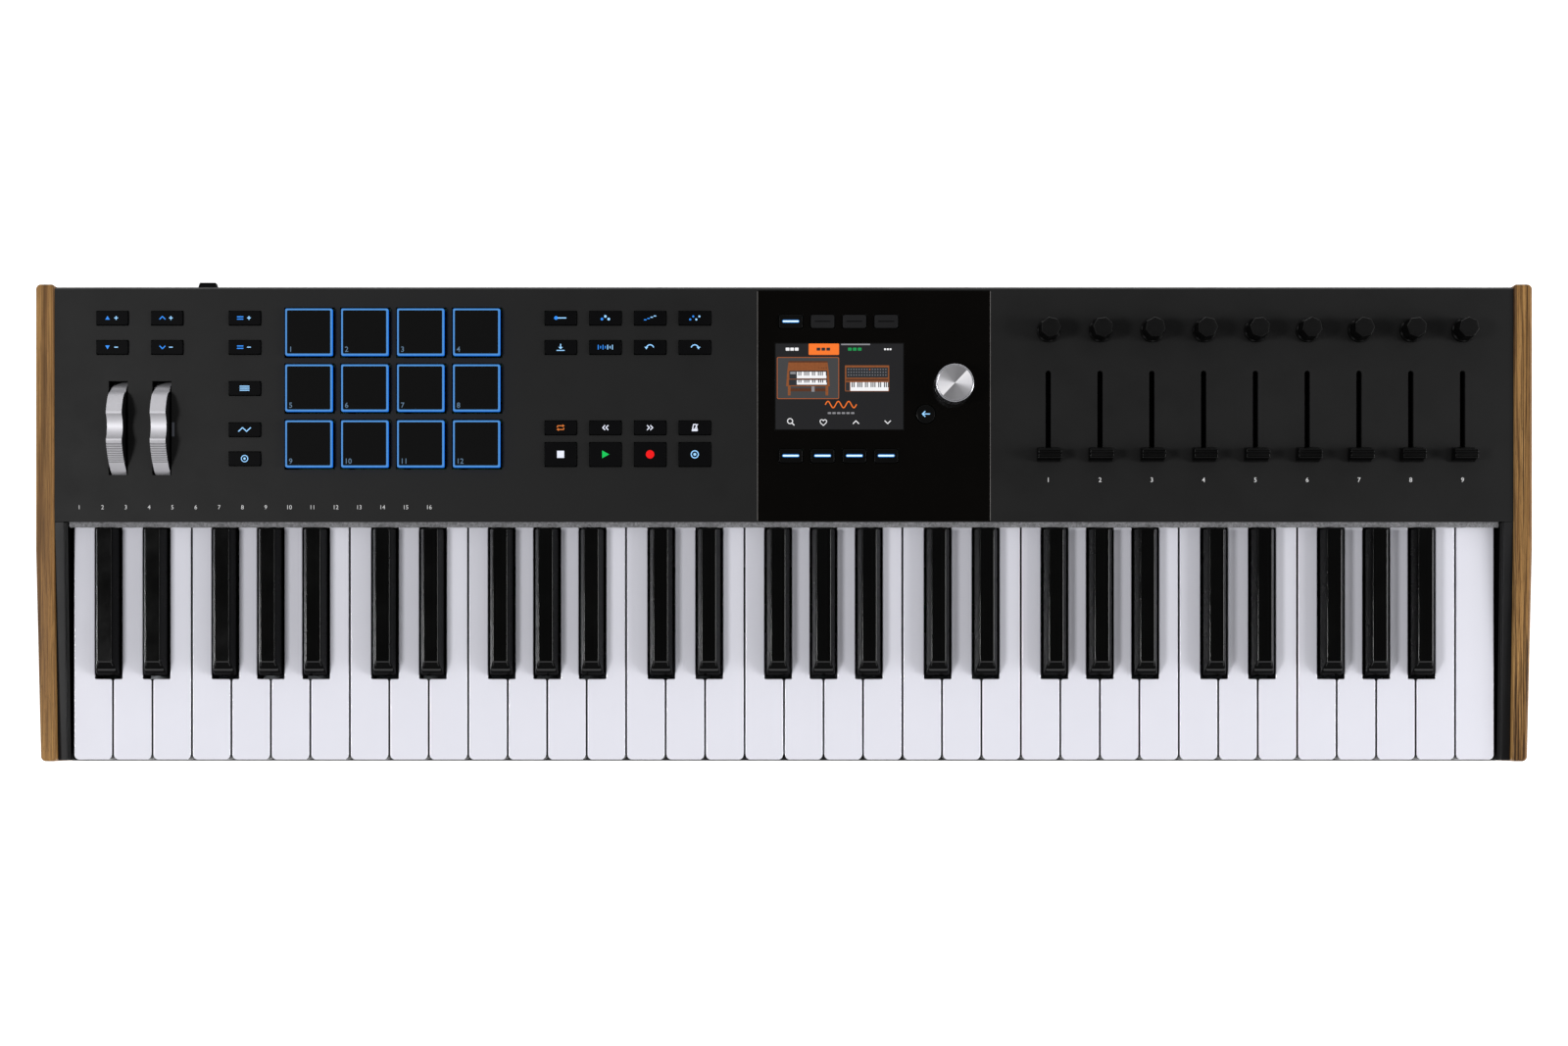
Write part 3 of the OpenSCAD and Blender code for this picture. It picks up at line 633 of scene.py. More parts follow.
def white_key(shape, w, octave, lone=False):
    """A white key with its hidden tail; the lone top C has no notch on its right."""
    x0 = KEY_X0 + (octave * 7 + w) * PITCH
    xl, xr = x0 + GAP / 2, x0 + PITCH - GAP / 2
    rl = xl if LEFT_SHARP[w] < 0 else sharp_x(octave, LEFT_SHARP[w]) + NOTCH
    rr = xr if RIGHT_SHARP[w] < 0 or lone else sharp_x(octave, RIGHT_SHARP[w]) - NOTCH
    back, outer, inner = 10.0, 1.0, 0.8
    pts, rad = [(xl, KEY_FRONT), (xr, KEY_FRONT)], [2.7, 2.7]
    if rr < xr - 0.1:
        pts += [(xr, NOTCH_Y), (rr, NOTCH_Y)]
        rad += [outer, inner]
    pts += [(rr, back), (rl, back)]
    rad += [0.3, 0.3]
    if rl > xl + 0.1:
        pts += [(rl, NOTCH_Y), (xl, NOTCH_Y)]
        rad += [inner, outer]
    rings = []
    for z, inset in [(KEY_BOT, 0.35), (KEY_BOT + 0.35, 0.0)] + fillet_levels(KEY_BOT + 0.5, KEY_TOP, 0.7, 5):
        corners = [r + inset if r == inner else max(r - inset, 0.25) for r in rad]
        rings.append(level(round_poly(offset_poly(pts, inset), corners), z))
    shape.loft(rings)
    tail = [
        (-6, KEY_BOT + 0.3), (back, 13), (80, 13), (80, 24),
        (back + 12, 24), (back + 8, 34.7), (back - 1, 49)
    ]
    slab_x(shape, tail, rl + 0.8, rr - 0.8)


def black_key(shape, i, octave):
    """Each row is height below the top, half width, how far the front is set back and corner radius."""
    x = sharp_x(octave, i)
    rows = [
        (18.5, 6.2, 0.6, 0.6), (11.0, 7.0, 0.05, 1.0), (9.8, 7.05, 0.25, 1.3), (8.0, 6.75, 0.9, 1.4),
        (6.4, 6.4, 1.8, 1.4), (5.2, 6.0, 2.9, 1.3), (4.3, 5.72, 4.1, 1.1), (2.6, 5.2, 5.8, 0.9),
        (1.0, 4.62, 7.4, 0.8), (0.55, 4.45, 7.85, 0.8), (0.28, 4.32, 8.15, 0.8), (0.08, 4.12, 8.4, 0.8),
        (0.0, 3.92, 8.62, 0.7)
    ]
    rings = []
    for drop, half, front, r in rows:
        y0, y1 = BLACK_FRONT + front, BLACK_REAR - max(0.0, 1.0 - drop) * 0.5
        q = [(x - half, y0), (x + half, y0), (x + half, y1), (x - half, y1)]
        rings.append(level(round_poly(q, [r, r, 0.4, 0.4]), BLACK_TOP - drop))
    shape.loft(rings)
    tail = [(-84, 36), (-6, 36), (10, 13), (80, 13), (80, 24), (22, 24), (18, 34.7), (10, 48), (-84, 48)]
    slab_x(shape, tail, x - 5.9, x + 5.9)


WHITE = {"key_c": 0, "key_d": 1, "key_e": 2, "key_f": 3, "key_g": 4, "key_a": 5, "key_b": 6}
BLACK = {"key_c_sharp": 0, "key_d_sharp": 1, "key_f_sharp": 2, "key_g_sharp": 3, "key_a_sharp": 4}
for node, w in WHITE.items():
    s = Shape()
    for octave in range(OCTAVES):
        white_key(s, w, octave)
    if w == 0:
        white_key(s, 0, OCTAVES, True)
    # the sides of the white keys take a dark grey, painted shade in the gaps between the keys
    s.stand_in(node, "_white", ["key_white", "key_white_side_shade"],
               walls=lambda n: abs(n.x) > 0.3 and n.z < 0.45)
for node, i in BLACK.items():
    s = Shape()
    for octave in range(OCTAVES):
        black_key(s, i, octave)
    # faces turned away from straight up take the duller, darker copy, painted shade on the sides and front
    # slope
    s.stand_in(node, "_black", ["key_black", "key_black_side_shade"], walls=lambda n: n.z < 0.72)


# -------- case

def block_wall(normal, centre):
    """The end blocks' faces towards the keys, which lie in the dark; they take black as painted shade."""
    return abs(normal.x) > 0.6 and abs(centre.x) < 425.5 and centre.y < 1


from_cad("top_panel", ["panel_satin"], 0.25, 2, 28)
from_cad("end_blocks", ["end_block_black", "gap_painted_shade"], 0.5, 3, 28, block_wall)
for node, material, bevel, steps, angle in (
    ("bottom_pan", "pan_black", 0.4, 2, 28),
    ("case_walls", "pan_black", 0.3, 2, 28), ("side_cheek_left", "cheek_wood_left", 2.0, 5, 30),
    ("side_cheek_right", "cheek_wood_right", 2.0, 5, 30), ("glass_panel", "gloss_black", 0.3, 3, 28),
    ("display_module", "display_bezel", 0.15, 1, 28), ("rubber_feet", "foot_rubber", 0.8, 3, 50),
    ("case_screws", "dark_metal", 0.2, 2, 50), ("rear_sockets", "socket_black", 0.25, 2, 50),
    ("power_button", "button_black", 0.4, 3, 28)
):
    from_cad(node, [material], bevel, steps, angle)
for node, key in (("keybed_chassis", "steel"), ("key_pivot_rod", "steel"), ("circuit_boards", "board_green"),
                  ("fader_tracks", "track_black"), ("encoder_bodies", "dark_metal"),
                  ("wheel_bracket", "socket_black"), ("main_encoder_shaft", "steel")):
    repaint(node, key)


# -------- felt

def felt_piece():
    """The frayed strip along the panel, whose edge wanders a little, and the plain one under the keys."""
    s = Shape()
    z0, z1 = PANEL_Z - 6.6, PANEL_Z - 3.0
    x0, x1 = KEY_X0 - 1, -KEY_X0 + 1
    steps = 420
    rings = []
    for k in range(steps + 1):
        x = x0 + (x1 - x0) * k / steps
        a = 0.28 * sin(k * 1.7) + 0.2 * sin(k * 0.61 + 1.3) + 0.14 * sin(k * 4.3)
        b = 0.18 * sin(k * 2.3 + 0.7) + 0.12 * sin(k * 5.1)
        y0 = -3.15 + 0.25 * a
        rings.append([
            (x, -0.05, z0), (x, -0.05, z1), (x, -0.9, z1 + 0.12 * b), (x, -2.1, z1 - 0.1 + 0.2 * b),
            (x, y0 + 0.25, z1 - 0.6 + 0.2 * a), (x, y0, z1 - 1.4), (x, y0 + 0.1, z0 + 0.5), (x, -2.6, z0)
        ])
    s.loft(rings)
    slab_x(s, [(-116, 7.5), (-106, 7.5), (-106, 22.8), (-116, 22.8)], KEY_X0, -KEY_X0)
    node = "felt_strips"
    s.make("felt_under_panel", BODY_OF[node], ["strip_felt"], SLOT_OF[node], stands_for=[node])


felt_piece()


# -------- flat marks

class Ink:
    """Thin raised marks drawn round one point of a level surface, in millimetres."""

    def __init__(self, shape, x, y, z, m, h=0.04):
        self.shape, self.x, self.y, self.z, self.m, self.h = shape, x, y, z, m, h

    def fill(self, pts, m=None, lift=0.0):
        q = [(self.x + px, self.y + py) for px, py in pts]
        sides = [level(q, self.z - 0.05), level(q, self.z + self.h + lift)]
        self.shape.loft(sides, self.m if m is None else m)

    def bar(self, x, y, w, d, r=None, m=None, lift=0.0):
        self.fill(round_poly(rect(x, y, w, d), min(w, d) * 0.3 if r is None else r, 3), m, lift)

    def dot(self, x, y, r, steps=24, m=None):
        self.fill(circle(x, y, r, steps), m)

    def line(self, pts, width, m=None, lift=0.0):
        for (ax, ay), (bx, by) in zip(pts, pts[1:]):
            d = Vector((bx - ax, by - ay))
            if d.length < 1e-6:
                continue
            d.normalize()
            nx, ny = -d.y * width / 2, d.x * width / 2
            ex, ey = d.x * width * 0.25, d.y * width * 0.25
            self.fill([(ax - ex - nx, ay - ey - ny), (bx + ex - nx, by + ey - ny),
                       (bx + ex + nx, by + ey + ny), (ax - ex + nx, ay - ey + ny)], m, lift)

    def arc(self, x, y, r, a0, a1, width, steps=14, m=None):
        pts = [(x + r * cos(radians(a0 + (a1 - a0) * k / steps)),
                y + r * sin(radians(a0 + (a1 - a0) * k / steps))) for k in range(steps + 1)]
        self.line(pts, width, m)

    def minus(self, x, y):
        self.bar(x, y, 2.2, 0.55, 0.1)

    def plus(self, x, y):
        self.minus(x, y)
        self.bar(x, y, 0.55, 2.2, 0.1, lift=0.005)


def digits(shape, word, x, y, size, z, m, weight):
    """Plain numbers, as solid mesh; x, y is the middle of the number."""
    curve = bpy.data.curves.new("digits", "FONT")
    curve.body = word
    curve.size = size * MM
    curve.offset = weight * MM
    curve.extrude = 0.03 * MM
    curve.align_x = "CENTER"
    curve.align_y = "CENTER"
    curve.resolution_u = 3
    obj = in_scene("digits", curve)
    mesh = bpy.data.meshes.new_from_object(obj)
    shape.add([(v.co.x / MM + x, v.co.y / MM + y, v.co.z / MM + z) for v in mesh.vertices],
              [tuple(p.vertices) for p in mesh.polygons], m)
    bpy.data.objects.remove(obj)
    bpy.data.curves.remove(curve)
    bpy.data.meshes.remove(mesh)


# -------- buttons

def button(shape, x, y, w, d, m=0):
    """A push button with rounded corners and a softened top edge."""
    tablet(shape, rect(x, y, w, d), 1.1, fillet_levels(BTN_BASE, BTN_TOP, 0.3, 3), m, 4)


def sign(shape, x, y, m=1):
    """Ink on top of a button."""
    return Ink(shape, x, y, BTN_TOP, m)


def left_group():
    """Arrow and sign pairs on the first two columns, plain marks on the third."""
    s = Shape()
    for x in (COL_A, COL_B, COL_C):
        for y in (ROW_A, ROW_B):
            button(s, x, y, BTN_W, BTN_D)
    for y in (ROW_C, ROW_D, ROW_E):
        button(s, COL_C, y, BTN_W, BTN_D)
    for y, up in ((ROW_A, 1), (ROW_B, -1)):
        for x in (COL_A, COL_B):
            i = sign(s, x, y)
            if x == COL_A:
                i.fill([(-4.0, -1.0 * up), (-1.4, -1.0 * up), (-2.7, 1.2 * up)][::up], 2)
            else:
                i.line([(-4.2, -0.7 * up), (-2.6, 0.9 * up), (-1.0, -0.7 * up)], 0.6, 2)
            (i.plus if up > 0 else i.minus)(2.4, 0)
        i = sign(s, COL_C, y)
        i.bar(-2.6, 0.7, 3.8, 0.6, m=2)
        i.bar(-2.6, -0.7, 3.8, 0.6, m=2)
        (i.plus if up > 0 else i.minus)(2.6, 0)
    i = sign(s, COL_C, ROW_C)
    for k in (-1, 0, 1):
        i.bar(0, 1.2 * k, 5.8, 0.6)
    i = sign(s, COL_C, ROW_D)
    i.line([(-3.6, -1.1), (-1.2, 1.1), (1.2, -1.1), (3.6, 1.1)], 0.6)
    i = sign(s, COL_C, ROW_E)
    i.arc(0, 0, 1.9, 0, 360, 0.5, 24)
    i.dot(0, 0, 0.7, 14)
    s.stand_in("left_buttons", "_caps", ["button_black", "label_light", "label_blue"])


def edit_group():
    """Two rows of four with plain signs: a bar, dots, steps, ticks, an arrow down and turning arrows."""
    s = Shape()
    xs = [MID_X + i * MID_PITCH for i in range(4)]
    for x in xs:
        for y in (ROW_A, ROW_B):
            button(s, x, y, BTN_W, BTN_D)
    i = sign(s, xs[0], ROW_A)
    i.bar(0.6, 0, 5.6, 0.65)
    i.dot(-2.7, 0, 1.1, m=2)
    i = sign(s, xs[1], ROW_A)
    for k in (-1, 0, 1):
        i.dot(2.0 * k, 0.9 if k == 0 else -0.7, 0.8, 16, 2 if k < 0 else 1)
    i = sign(s, xs[2], ROW_A)
    for k in range(4):
        i.bar(-2.85 + 1.9 * k, -1.1 + 0.75 * k, 1.5, 0.6, m=2 if k < 2 else 1)
    i = sign(s, xs[3], ROW_A)
    for k in range(4):
        i.dot(-2.7 + 1.8 * k, -0.9 if k % 2 == 0 else 0.9, 0.62, 14, 2 if k < 2 else 1)
    i = sign(s, xs[0], ROW_B)
    i.line([(0, 1.8), (0, -0.3)], 0.6)
    i.fill([(-1.3, 0.1), (0.0, -1.2), (1.3, 0.1)])
    i.bar(0, -1.9, 4.8, 0.5)
    i = sign(s, xs[1], ROW_B)
    for k in range(7):
        i.bar(-4.2 + 1.4 * k, 0, 0.5, 2.8 if k % 2 == 0 else 1.5, m=2 if k < 4 else 1)
    for x, turn in ((xs[2], 1), (xs[3], -1)):
        i = sign(s, x, ROW_B)
        i.arc(0, -0.8, 2.2, 20 if turn > 0 else 160, 160 if turn > 0 else 20, 0.6)
        ex = -turn * 2.2
        i.fill([(ex - 1.1, 0.2), (ex + 1.1, 0.2), (ex, -1.3)])
    s.stand_in("edit_buttons", "_caps", ["button_black", "label_light", "label_blue"])


def transport_group():
    """Loop, back, forward and a beat above stop, play, record and tap."""
    s = Shape()
    xs = [MID_X + i * MID_PITCH for i in range(4)]
    for x in xs:
        button(s, x, SMALL_ROW, BTN_W, BTN_D)
        button(s, x, LARGE_ROW, BTN_W, LARGE_D)
    i = sign(s, xs[0], SMALL_ROW, 5)
    i.line([(-2.0, 0.2), (-1.7, 1.1), (1.2, 1.1)], 0.55)
    i.line([(2.0, -0.2), (1.7, -1.1), (-1.2, -1.1)], 0.55)
    i.fill([(1.1, 0.2), (2.4, 1.1), (1.1, 2.0)])
    i.fill([(-1.1, -2.0), (-1.1, -0.2), (-2.4, -1.1)])
    for x, turn in ((xs[1], -1), (xs[2], 1)):
        i = sign(s, x, SMALL_ROW, 2)
        for k in (-1.0, 0.9):
            tip = turn * (k + 0.65)
            i.line([(tip - turn * 1.3, -1.3), (tip, 0.0), (tip - turn * 1.3, 1.3)], 0.62)
    i = sign(s, xs[3], SMALL_ROW, 2)
    i.line([(-0.7, 1.9), (-1.5, -1.8), (1.5, -1.8), (0.7, 1.9), (-0.7, 1.9)], 0.6)
    i.bar(0, -1.2, 2.6, 0.9, 0.1, lift=0.005)
    i.line([(-0.1, -0.9), (1.7, 2.0)], 0.5)
    sign(s, xs[0], LARGE_ROW, 2).bar(0, 0, 4.2, 4.2, 0.15)
    sign(s, xs[1], LARGE_ROW, 3).fill([(-1.9, -2.3), (2.3, 0), (-1.9, 2.3)])
    sign(s, xs[2], LARGE_ROW, 4).dot(0, 0, 2.5, 36)
    i = sign(s, xs[3], LARGE_ROW)
    i.arc(0, 0, 2.1, 0, 360, 0.6, 28)
    i.dot(0, 0, 0.85, 18)
    s.stand_in("transport_buttons", "_caps",
               ["button_black", "label_light", "white_light", "green_light", "red_light", "orange_light"])


def screen_group():
    """Eight buttons over and under the display, five of them lit, and the round one beside it."""
    s = Shape()
    for k in range(4):
        for y in SOFT_ROWS:
            x = SOFT_X + k * SOFT_PITCH
            lit = y == SOFT_ROWS[1] or k == 0
            button(s, x, y, SOFT_W, SOFT_D, 5 if lit else 4)
            i = sign(s, x, y, 1 if lit else 0)
            if lit:
                i.bar(0, 0, 10.2, 1.9, 0.9, m=2)
                i.bar(0, 0, 9.4, 0.9, 0.4, lift=0.01)
            else:
                i.bar(0, 0, 9.4, 0.6, 0.25)
    profile = [
        (BACK_R, BTN_BASE), (BACK_R, BTN_TOP - 0.6), (BACK_R - 0.18, BTN_TOP - 0.18), (BACK_R - 0.6, BTN_TOP)
    ]
    lathe(s, BACK_X, BACK_Y, profile, 56, 5)
    i = sign(s, BACK_X, BACK_Y, 3)
    i.line([(-0.4, 1.5), (-2.0, 0.0), (-0.4, -1.5)], 0.6)
    i.line([(-1.8, 0.0), (2.3, 0.0)], 0.6)
    s.stand_in("screen_buttons", "_caps",
               ["button_black", "label_bar", "label_halo", "label_light", "button_unlit",
                "button_gloss_black"])


left_group()
edit_group()
transport_group()
screen_group()


# -------- pads

PAD_FOOT, PAD_WALL, PAD_FACE = 53.2, PANEL_Z + 0.25, 25.6


def pad(shape, x, y, number):
    """A dark foot in the panel's hole, a lit wall, a paler rim and a black face with its number."""
    square = rect(x, y, PAD_W, PAD_W)
    tablet(shape, square, 1.6, [(PAD_FOOT, 0.9), (PAD_WALL, 0.85)], 0, 5)
    tablet(shape, square, 1.6, [(PAD_WALL, 0.82), (PAD_TOP - 0.9, 0.8), (PAD_TOP - 0.35, 0.8)], 2, 5)
    tablet(shape, rect(x, y, PAD_W - 1.6, PAD_W - 1.6), 1.0,
           [(PAD_TOP - 0.45, 0.0), (PAD_TOP - 0.22, 0.06), (PAD_TOP - 0.14, 0.22)], 1, 5)
    tablet(shape, rect(x, y, PAD_FACE, PAD_FACE), 0.7,
           [(PAD_TOP - 0.3, 0.0), (PAD_TOP - 0.06, 0.0), (PAD_TOP, 0.12)], 0, 5)
    indent = 10.6 if number < 10 else 9.7
    digits(shape, str(number), x - indent, y - 10.4, 4.4, PAD_TOP, 3, 0.03)


for j in range(3):
    s = Shape()
    for i in range(4):
        pad(s, PAD_X + i * PAD_PITCH, PAD_ROW - j * PAD_PITCH, j * 4 + i + 1)
    s.stand_in(f"pads_row_{j + 1}", "_caps", ["pad_rubber", "pad_rim_light", "pad_wall_light", "pad_number"])


# -------- encoder knobs

KNOB_SIDES, KNOB_STEPS, KNOB_TURN = 7, 112, radians(20)


def encoder_knob(shape, x, z0, z1, turn):
    """Each row is radius, how far the outline goes from a circle to the seven-sided grip, and height."""
    rows = [
        (6.7, 0.0, z0), (7.0, 0.0, z0 + 0.3), (7.0, 0.0, z0 + 1.9), (6.9, 0.2, z0 + 2.4),
        (6.62, 0.8, z0 + 3.0), (6.5, 1.0, z0 + 4.0), (6.3, 1.0, z0 + 8.5), (6.12, 1.0, z1 - 0.9),
        (6.02, 1.0, z1 - 0.35), (5.8, 1.0, z1 - 0.08), (5.5, 1.0, z1), (4.9, 1.0, z1 - 0.06)
    ]
    side = TAU / KNOB_SIDES
    rings = []
    for r, flat, z in rows:
        ring = []
        for k in range(KNOB_STEPS):
            th = TAU * k / KNOB_STEPS
            local = (th - turn) % side - side / 2
            grip = min(r * cos(side / 2) / cos(local), r * 0.985)
            rr = r * (1 - flat) + grip * flat
            ring.append((x + rr * cos(th), KNOB_Y + rr * sin(th), z))
        rings.append(ring)
    shape.loft(rings)


for k in range(STRIP_N):
    x = STRIP_X + k * STRIP_PITCH
    node = f"encoder_knob_{k + 1}"
    lo, hi = node_mm(node)
    s = Shape()
    encoder_knob(s, x, lo[2], hi[2], KNOB_TURN * (k % 3))
    # the knob's sides take the darker, duller copy, painted shade
    s.stand_in(node, "_grip", ["knob_rubber", "knob_side_shade"], origin=(x, KNOB_Y, lo[2]),
               walls=lambda n: n.z < 0.4)


# -------- fader caps

CAP_W, CAP_D, CAP_TAPER = 14.2, 8.7, 0.0022
# how far each cross-section of the grip is from its middle, and how far it shrinks, at the rounded ends
CAP_ENDS = [(6.95, 0.3), (6.88, 0.12), (6.7, 0.03), (6.4, 0.0)]


def fader_cap(shape, x, y, z0, z1):
    """A flat foot, a waisted grip with a groove along its top, and the lever that goes into the slot."""
    foot = [(z0, 0.2), (z0 + 0.2, 0), (z0 + 1.0, 0), (z0 + 1.3, 0.25)]
    tablet(shape, rect(x, y, CAP_W, CAP_D), 0.8, foot, 0, 4)
    half = [
        (4.15, z0 + 1.0), (3.95, z0 + 1.6), (3.35, z0 + 3.0), (2.95, z0 + 5.0), (2.78, z0 + 7.2),
        (2.72, z1 - 0.5), (2.62, z1 - 0.12), (2.4, z1), (2.2, z1), (1.95, z1 - 0.32), (1.75, z1 - 0.32),
        (1.5, z1), (0.55, z1), (0.3, z1 - 0.55)
    ]
    profile = [(y + a, z) for a, z in half] + [(y - a, z) for a, z in reversed(half)]
    rings = []
    for dx, inset in [(-a, i) for a, i in CAP_ENDS] + CAP_ENDS[::-1]:
        q = offset_poly(profile, inset) if inset else profile
        rings.append([
            (x + dx * (1 - CAP_TAPER * max(0, pz - z0 - 2)), py, max(pz, z0 + 1.0)) for py, pz in q
        ])
    shape.loft(rings)
    tablet(shape, rect(x, y, 1.6, 5.0), 0.3, [(51, 0), (z0 + 0.5, 0)], 0, 2)


for k in range(STRIP_N):
    node = f"fader_cap_{k + 1}"
    lo, hi = node_mm(node)
    s = Shape()
    fader_cap(s, STRIP_X + k * STRIP_PITCH, (lo[1] + hi[1]) / 2, PANEL_Z + 0.8, hi[2])
    # the cap's sides take the darker, duller copy, painted shade
    s.stand_in(node, "_grip", ["fader_black", "fader_side_shade"], walls=lambda n: n.z < 0.3)


# -------- wheels

WHEEL_R = 32.0
RIDGE, DIP = 8.0, 3.0
WHEEL_CUT = 3.4
REAR_TAPER, RIB_DEPTH, RIB_STEPS = 2.5, 0.4, 8
# how far each cross-section is from the wheel's face, and how much smaller it is, at the rounded edges
WHEEL_EDGE = [(0.0, 0.984), (0.1, 0.992), (0.3, 0.998), (0.55, 1.0)]


def rim_point(r, angle):
    """A point at radius r, turned back from straight up."""
    return r * sin(angle), r * cos(angle)


def wheel_outline():
    """The side view: a cut disc with a hollow between two ridges and fine ribs on the player's side."""
    r = WHEEL_R
    hollow_r = (RIDGE * RIDGE + DIP * DIP) / (2 * DIP)
    a_ridge = asin(RIDGE / r)
    a_end = acos(WHEEL_CUT / r)
    ridge_z = sqrt(r * r - RIDGE * RIDGE)
    soft = 0.055
    pts = []
    for k in range(61):
        a = a_end + (a_ridge + soft - a_end) * k / 60
        t = min(max((a - 0.60) / 0.32, 0.0), 1.0)
        rr = r - REAR_TAPER * t * t * (3 - 2 * t)
        pts.append(rim_point(rr, a))
    for k in range(1, 5):
        a = a_ridge + soft * (1 - k / 5)
        rr = r - 0.3 * sin(k / 5 * pi / 2) ** 2
        pts.append(rim_point(rr, a))
    for k in range(25):
        yy = (RIDGE - 0.25) * (1 - k / 12)
        pts.append((yy, ridge_z + hollow_r - DIP - sqrt(max(hollow_r ** 2 - yy * yy, 0)) - 0.05))
    for k in range(1, 5):
        a = a_ridge + soft * k / 5
        rr = r - 0.3 * cos(k / 5 * pi / 2) ** 2
        pts.append(rim_point(rr, -a))
    for k in range(RIBS * RIB_STEPS + 1):
        a = RIB_START + RIB_TURN * k / RIB_STEPS
        rr = r - RIB_DEPTH / 2 * (1 - cos(TAU * k / RIB_STEPS))
        pts.append(rim_point(rr, -a))
    last = RIB_START + RIB_TURN * RIBS
    for k in range(1, 41):
        a = last + (a_end - last) * k / 40
        pts.append(rim_point(r, -a))
    hub = [(-6.0, 3.4), (-5.2, -3.0), (-3.0, -5.2), (0, -6.0), (3.0, -5.2), (5.2, -3.0), (6.0, 3.4)]
    return pts + hub


outline = wheel_outline()
for node in ("pitch_wheel", "mod_wheel"):
    lo, hi = node_mm(node)
    cx, t = (lo[0] + hi[0]) / 2, (hi[0] - lo[0]) / 2
    joint = next(q for q in RECORD["behaviour"]["joints"] if q["child"] == BODY_OF[node])
    cy, cz = joint["pos_m"][1] / MM, joint["pos_m"][2] / MM
    s = Shape()
    s.loft([[(cx + dx, cy + py * k, cz + pz * k) for py, pz in outline] for dx, k in
            [(t - e, k) for e, k in WHEEL_EDGE] + [(e - t, k) for e, k in WHEEL_EDGE[::-1]]], caps=1)
    s.stand_in(node, "_rim", ["wheel_silver", "wheel_side_black"], origin=(cx, cy, cz))


# -------- large dial

DIAL_STEPS, KNURL = 240, 0.22


def dial_ring(r, z, depth):
    """A ring round the dial's axis, every second point set in by depth for the knurled grip."""
    ring = []
    for k in range(DIAL_STEPS):
        rr, th = r - depth * (k % 2), TAU * k / DIAL_STEPS
        ring.append((DIAL_X + rr * cos(th), DIAL_Y + rr * sin(th), z))
    return ring


def dial():
    """A knurled grip between two grooves, a rounded shoulder and a shallow spun face."""
    lo, hi = node_mm("main_encoder_knob")
    z0, z1 = lo[2], hi[2]
    s = Shape()
    rows = [
        (10.9, z0, 0), (11.3, z0 + 0.3, 0), (11.3, z0 + 0.9, 0), (11.1, z0 + 1.2, 0),
        (11.45, z0 + 1.6, KNURL), (11.45, z1 - 1.6, KNURL), (11.2, z1 - 1.2, 0), (11.35, z1 - 1.0, 0)
    ]
    s.loft([dial_ring(*row) for row in rows], 1, open_top=True)
    shoulder = [
        (11.35, z1 - 1.0), (11.3, z1 - 0.6), (11.05, z1 - 0.2), (10.7, z1), (10.4, z1), (10.15, z1 - 0.18)
    ]
    lathe(s, DIAL_X, DIAL_Y, shoulder, 120, 1)
    face = [(10.2, z1 - 0.4), (10.16, z1 - 0.17), (6.0, z1 - 0.14), (2.0, z1 - 0.12), (0.15, z1 - 0.11)]
    lathe(s, DIAL_X, DIAL_Y, face, 120, 0)
    s.make("main_dial", BODY_OF["main_encoder_knob"], ["dial_spun", "dial_side"], "dial_metal",
           origin=(DIAL_X, DIAL_Y, z0), stands_for=["main_encoder_knob"])


dial()


# -------- display picture

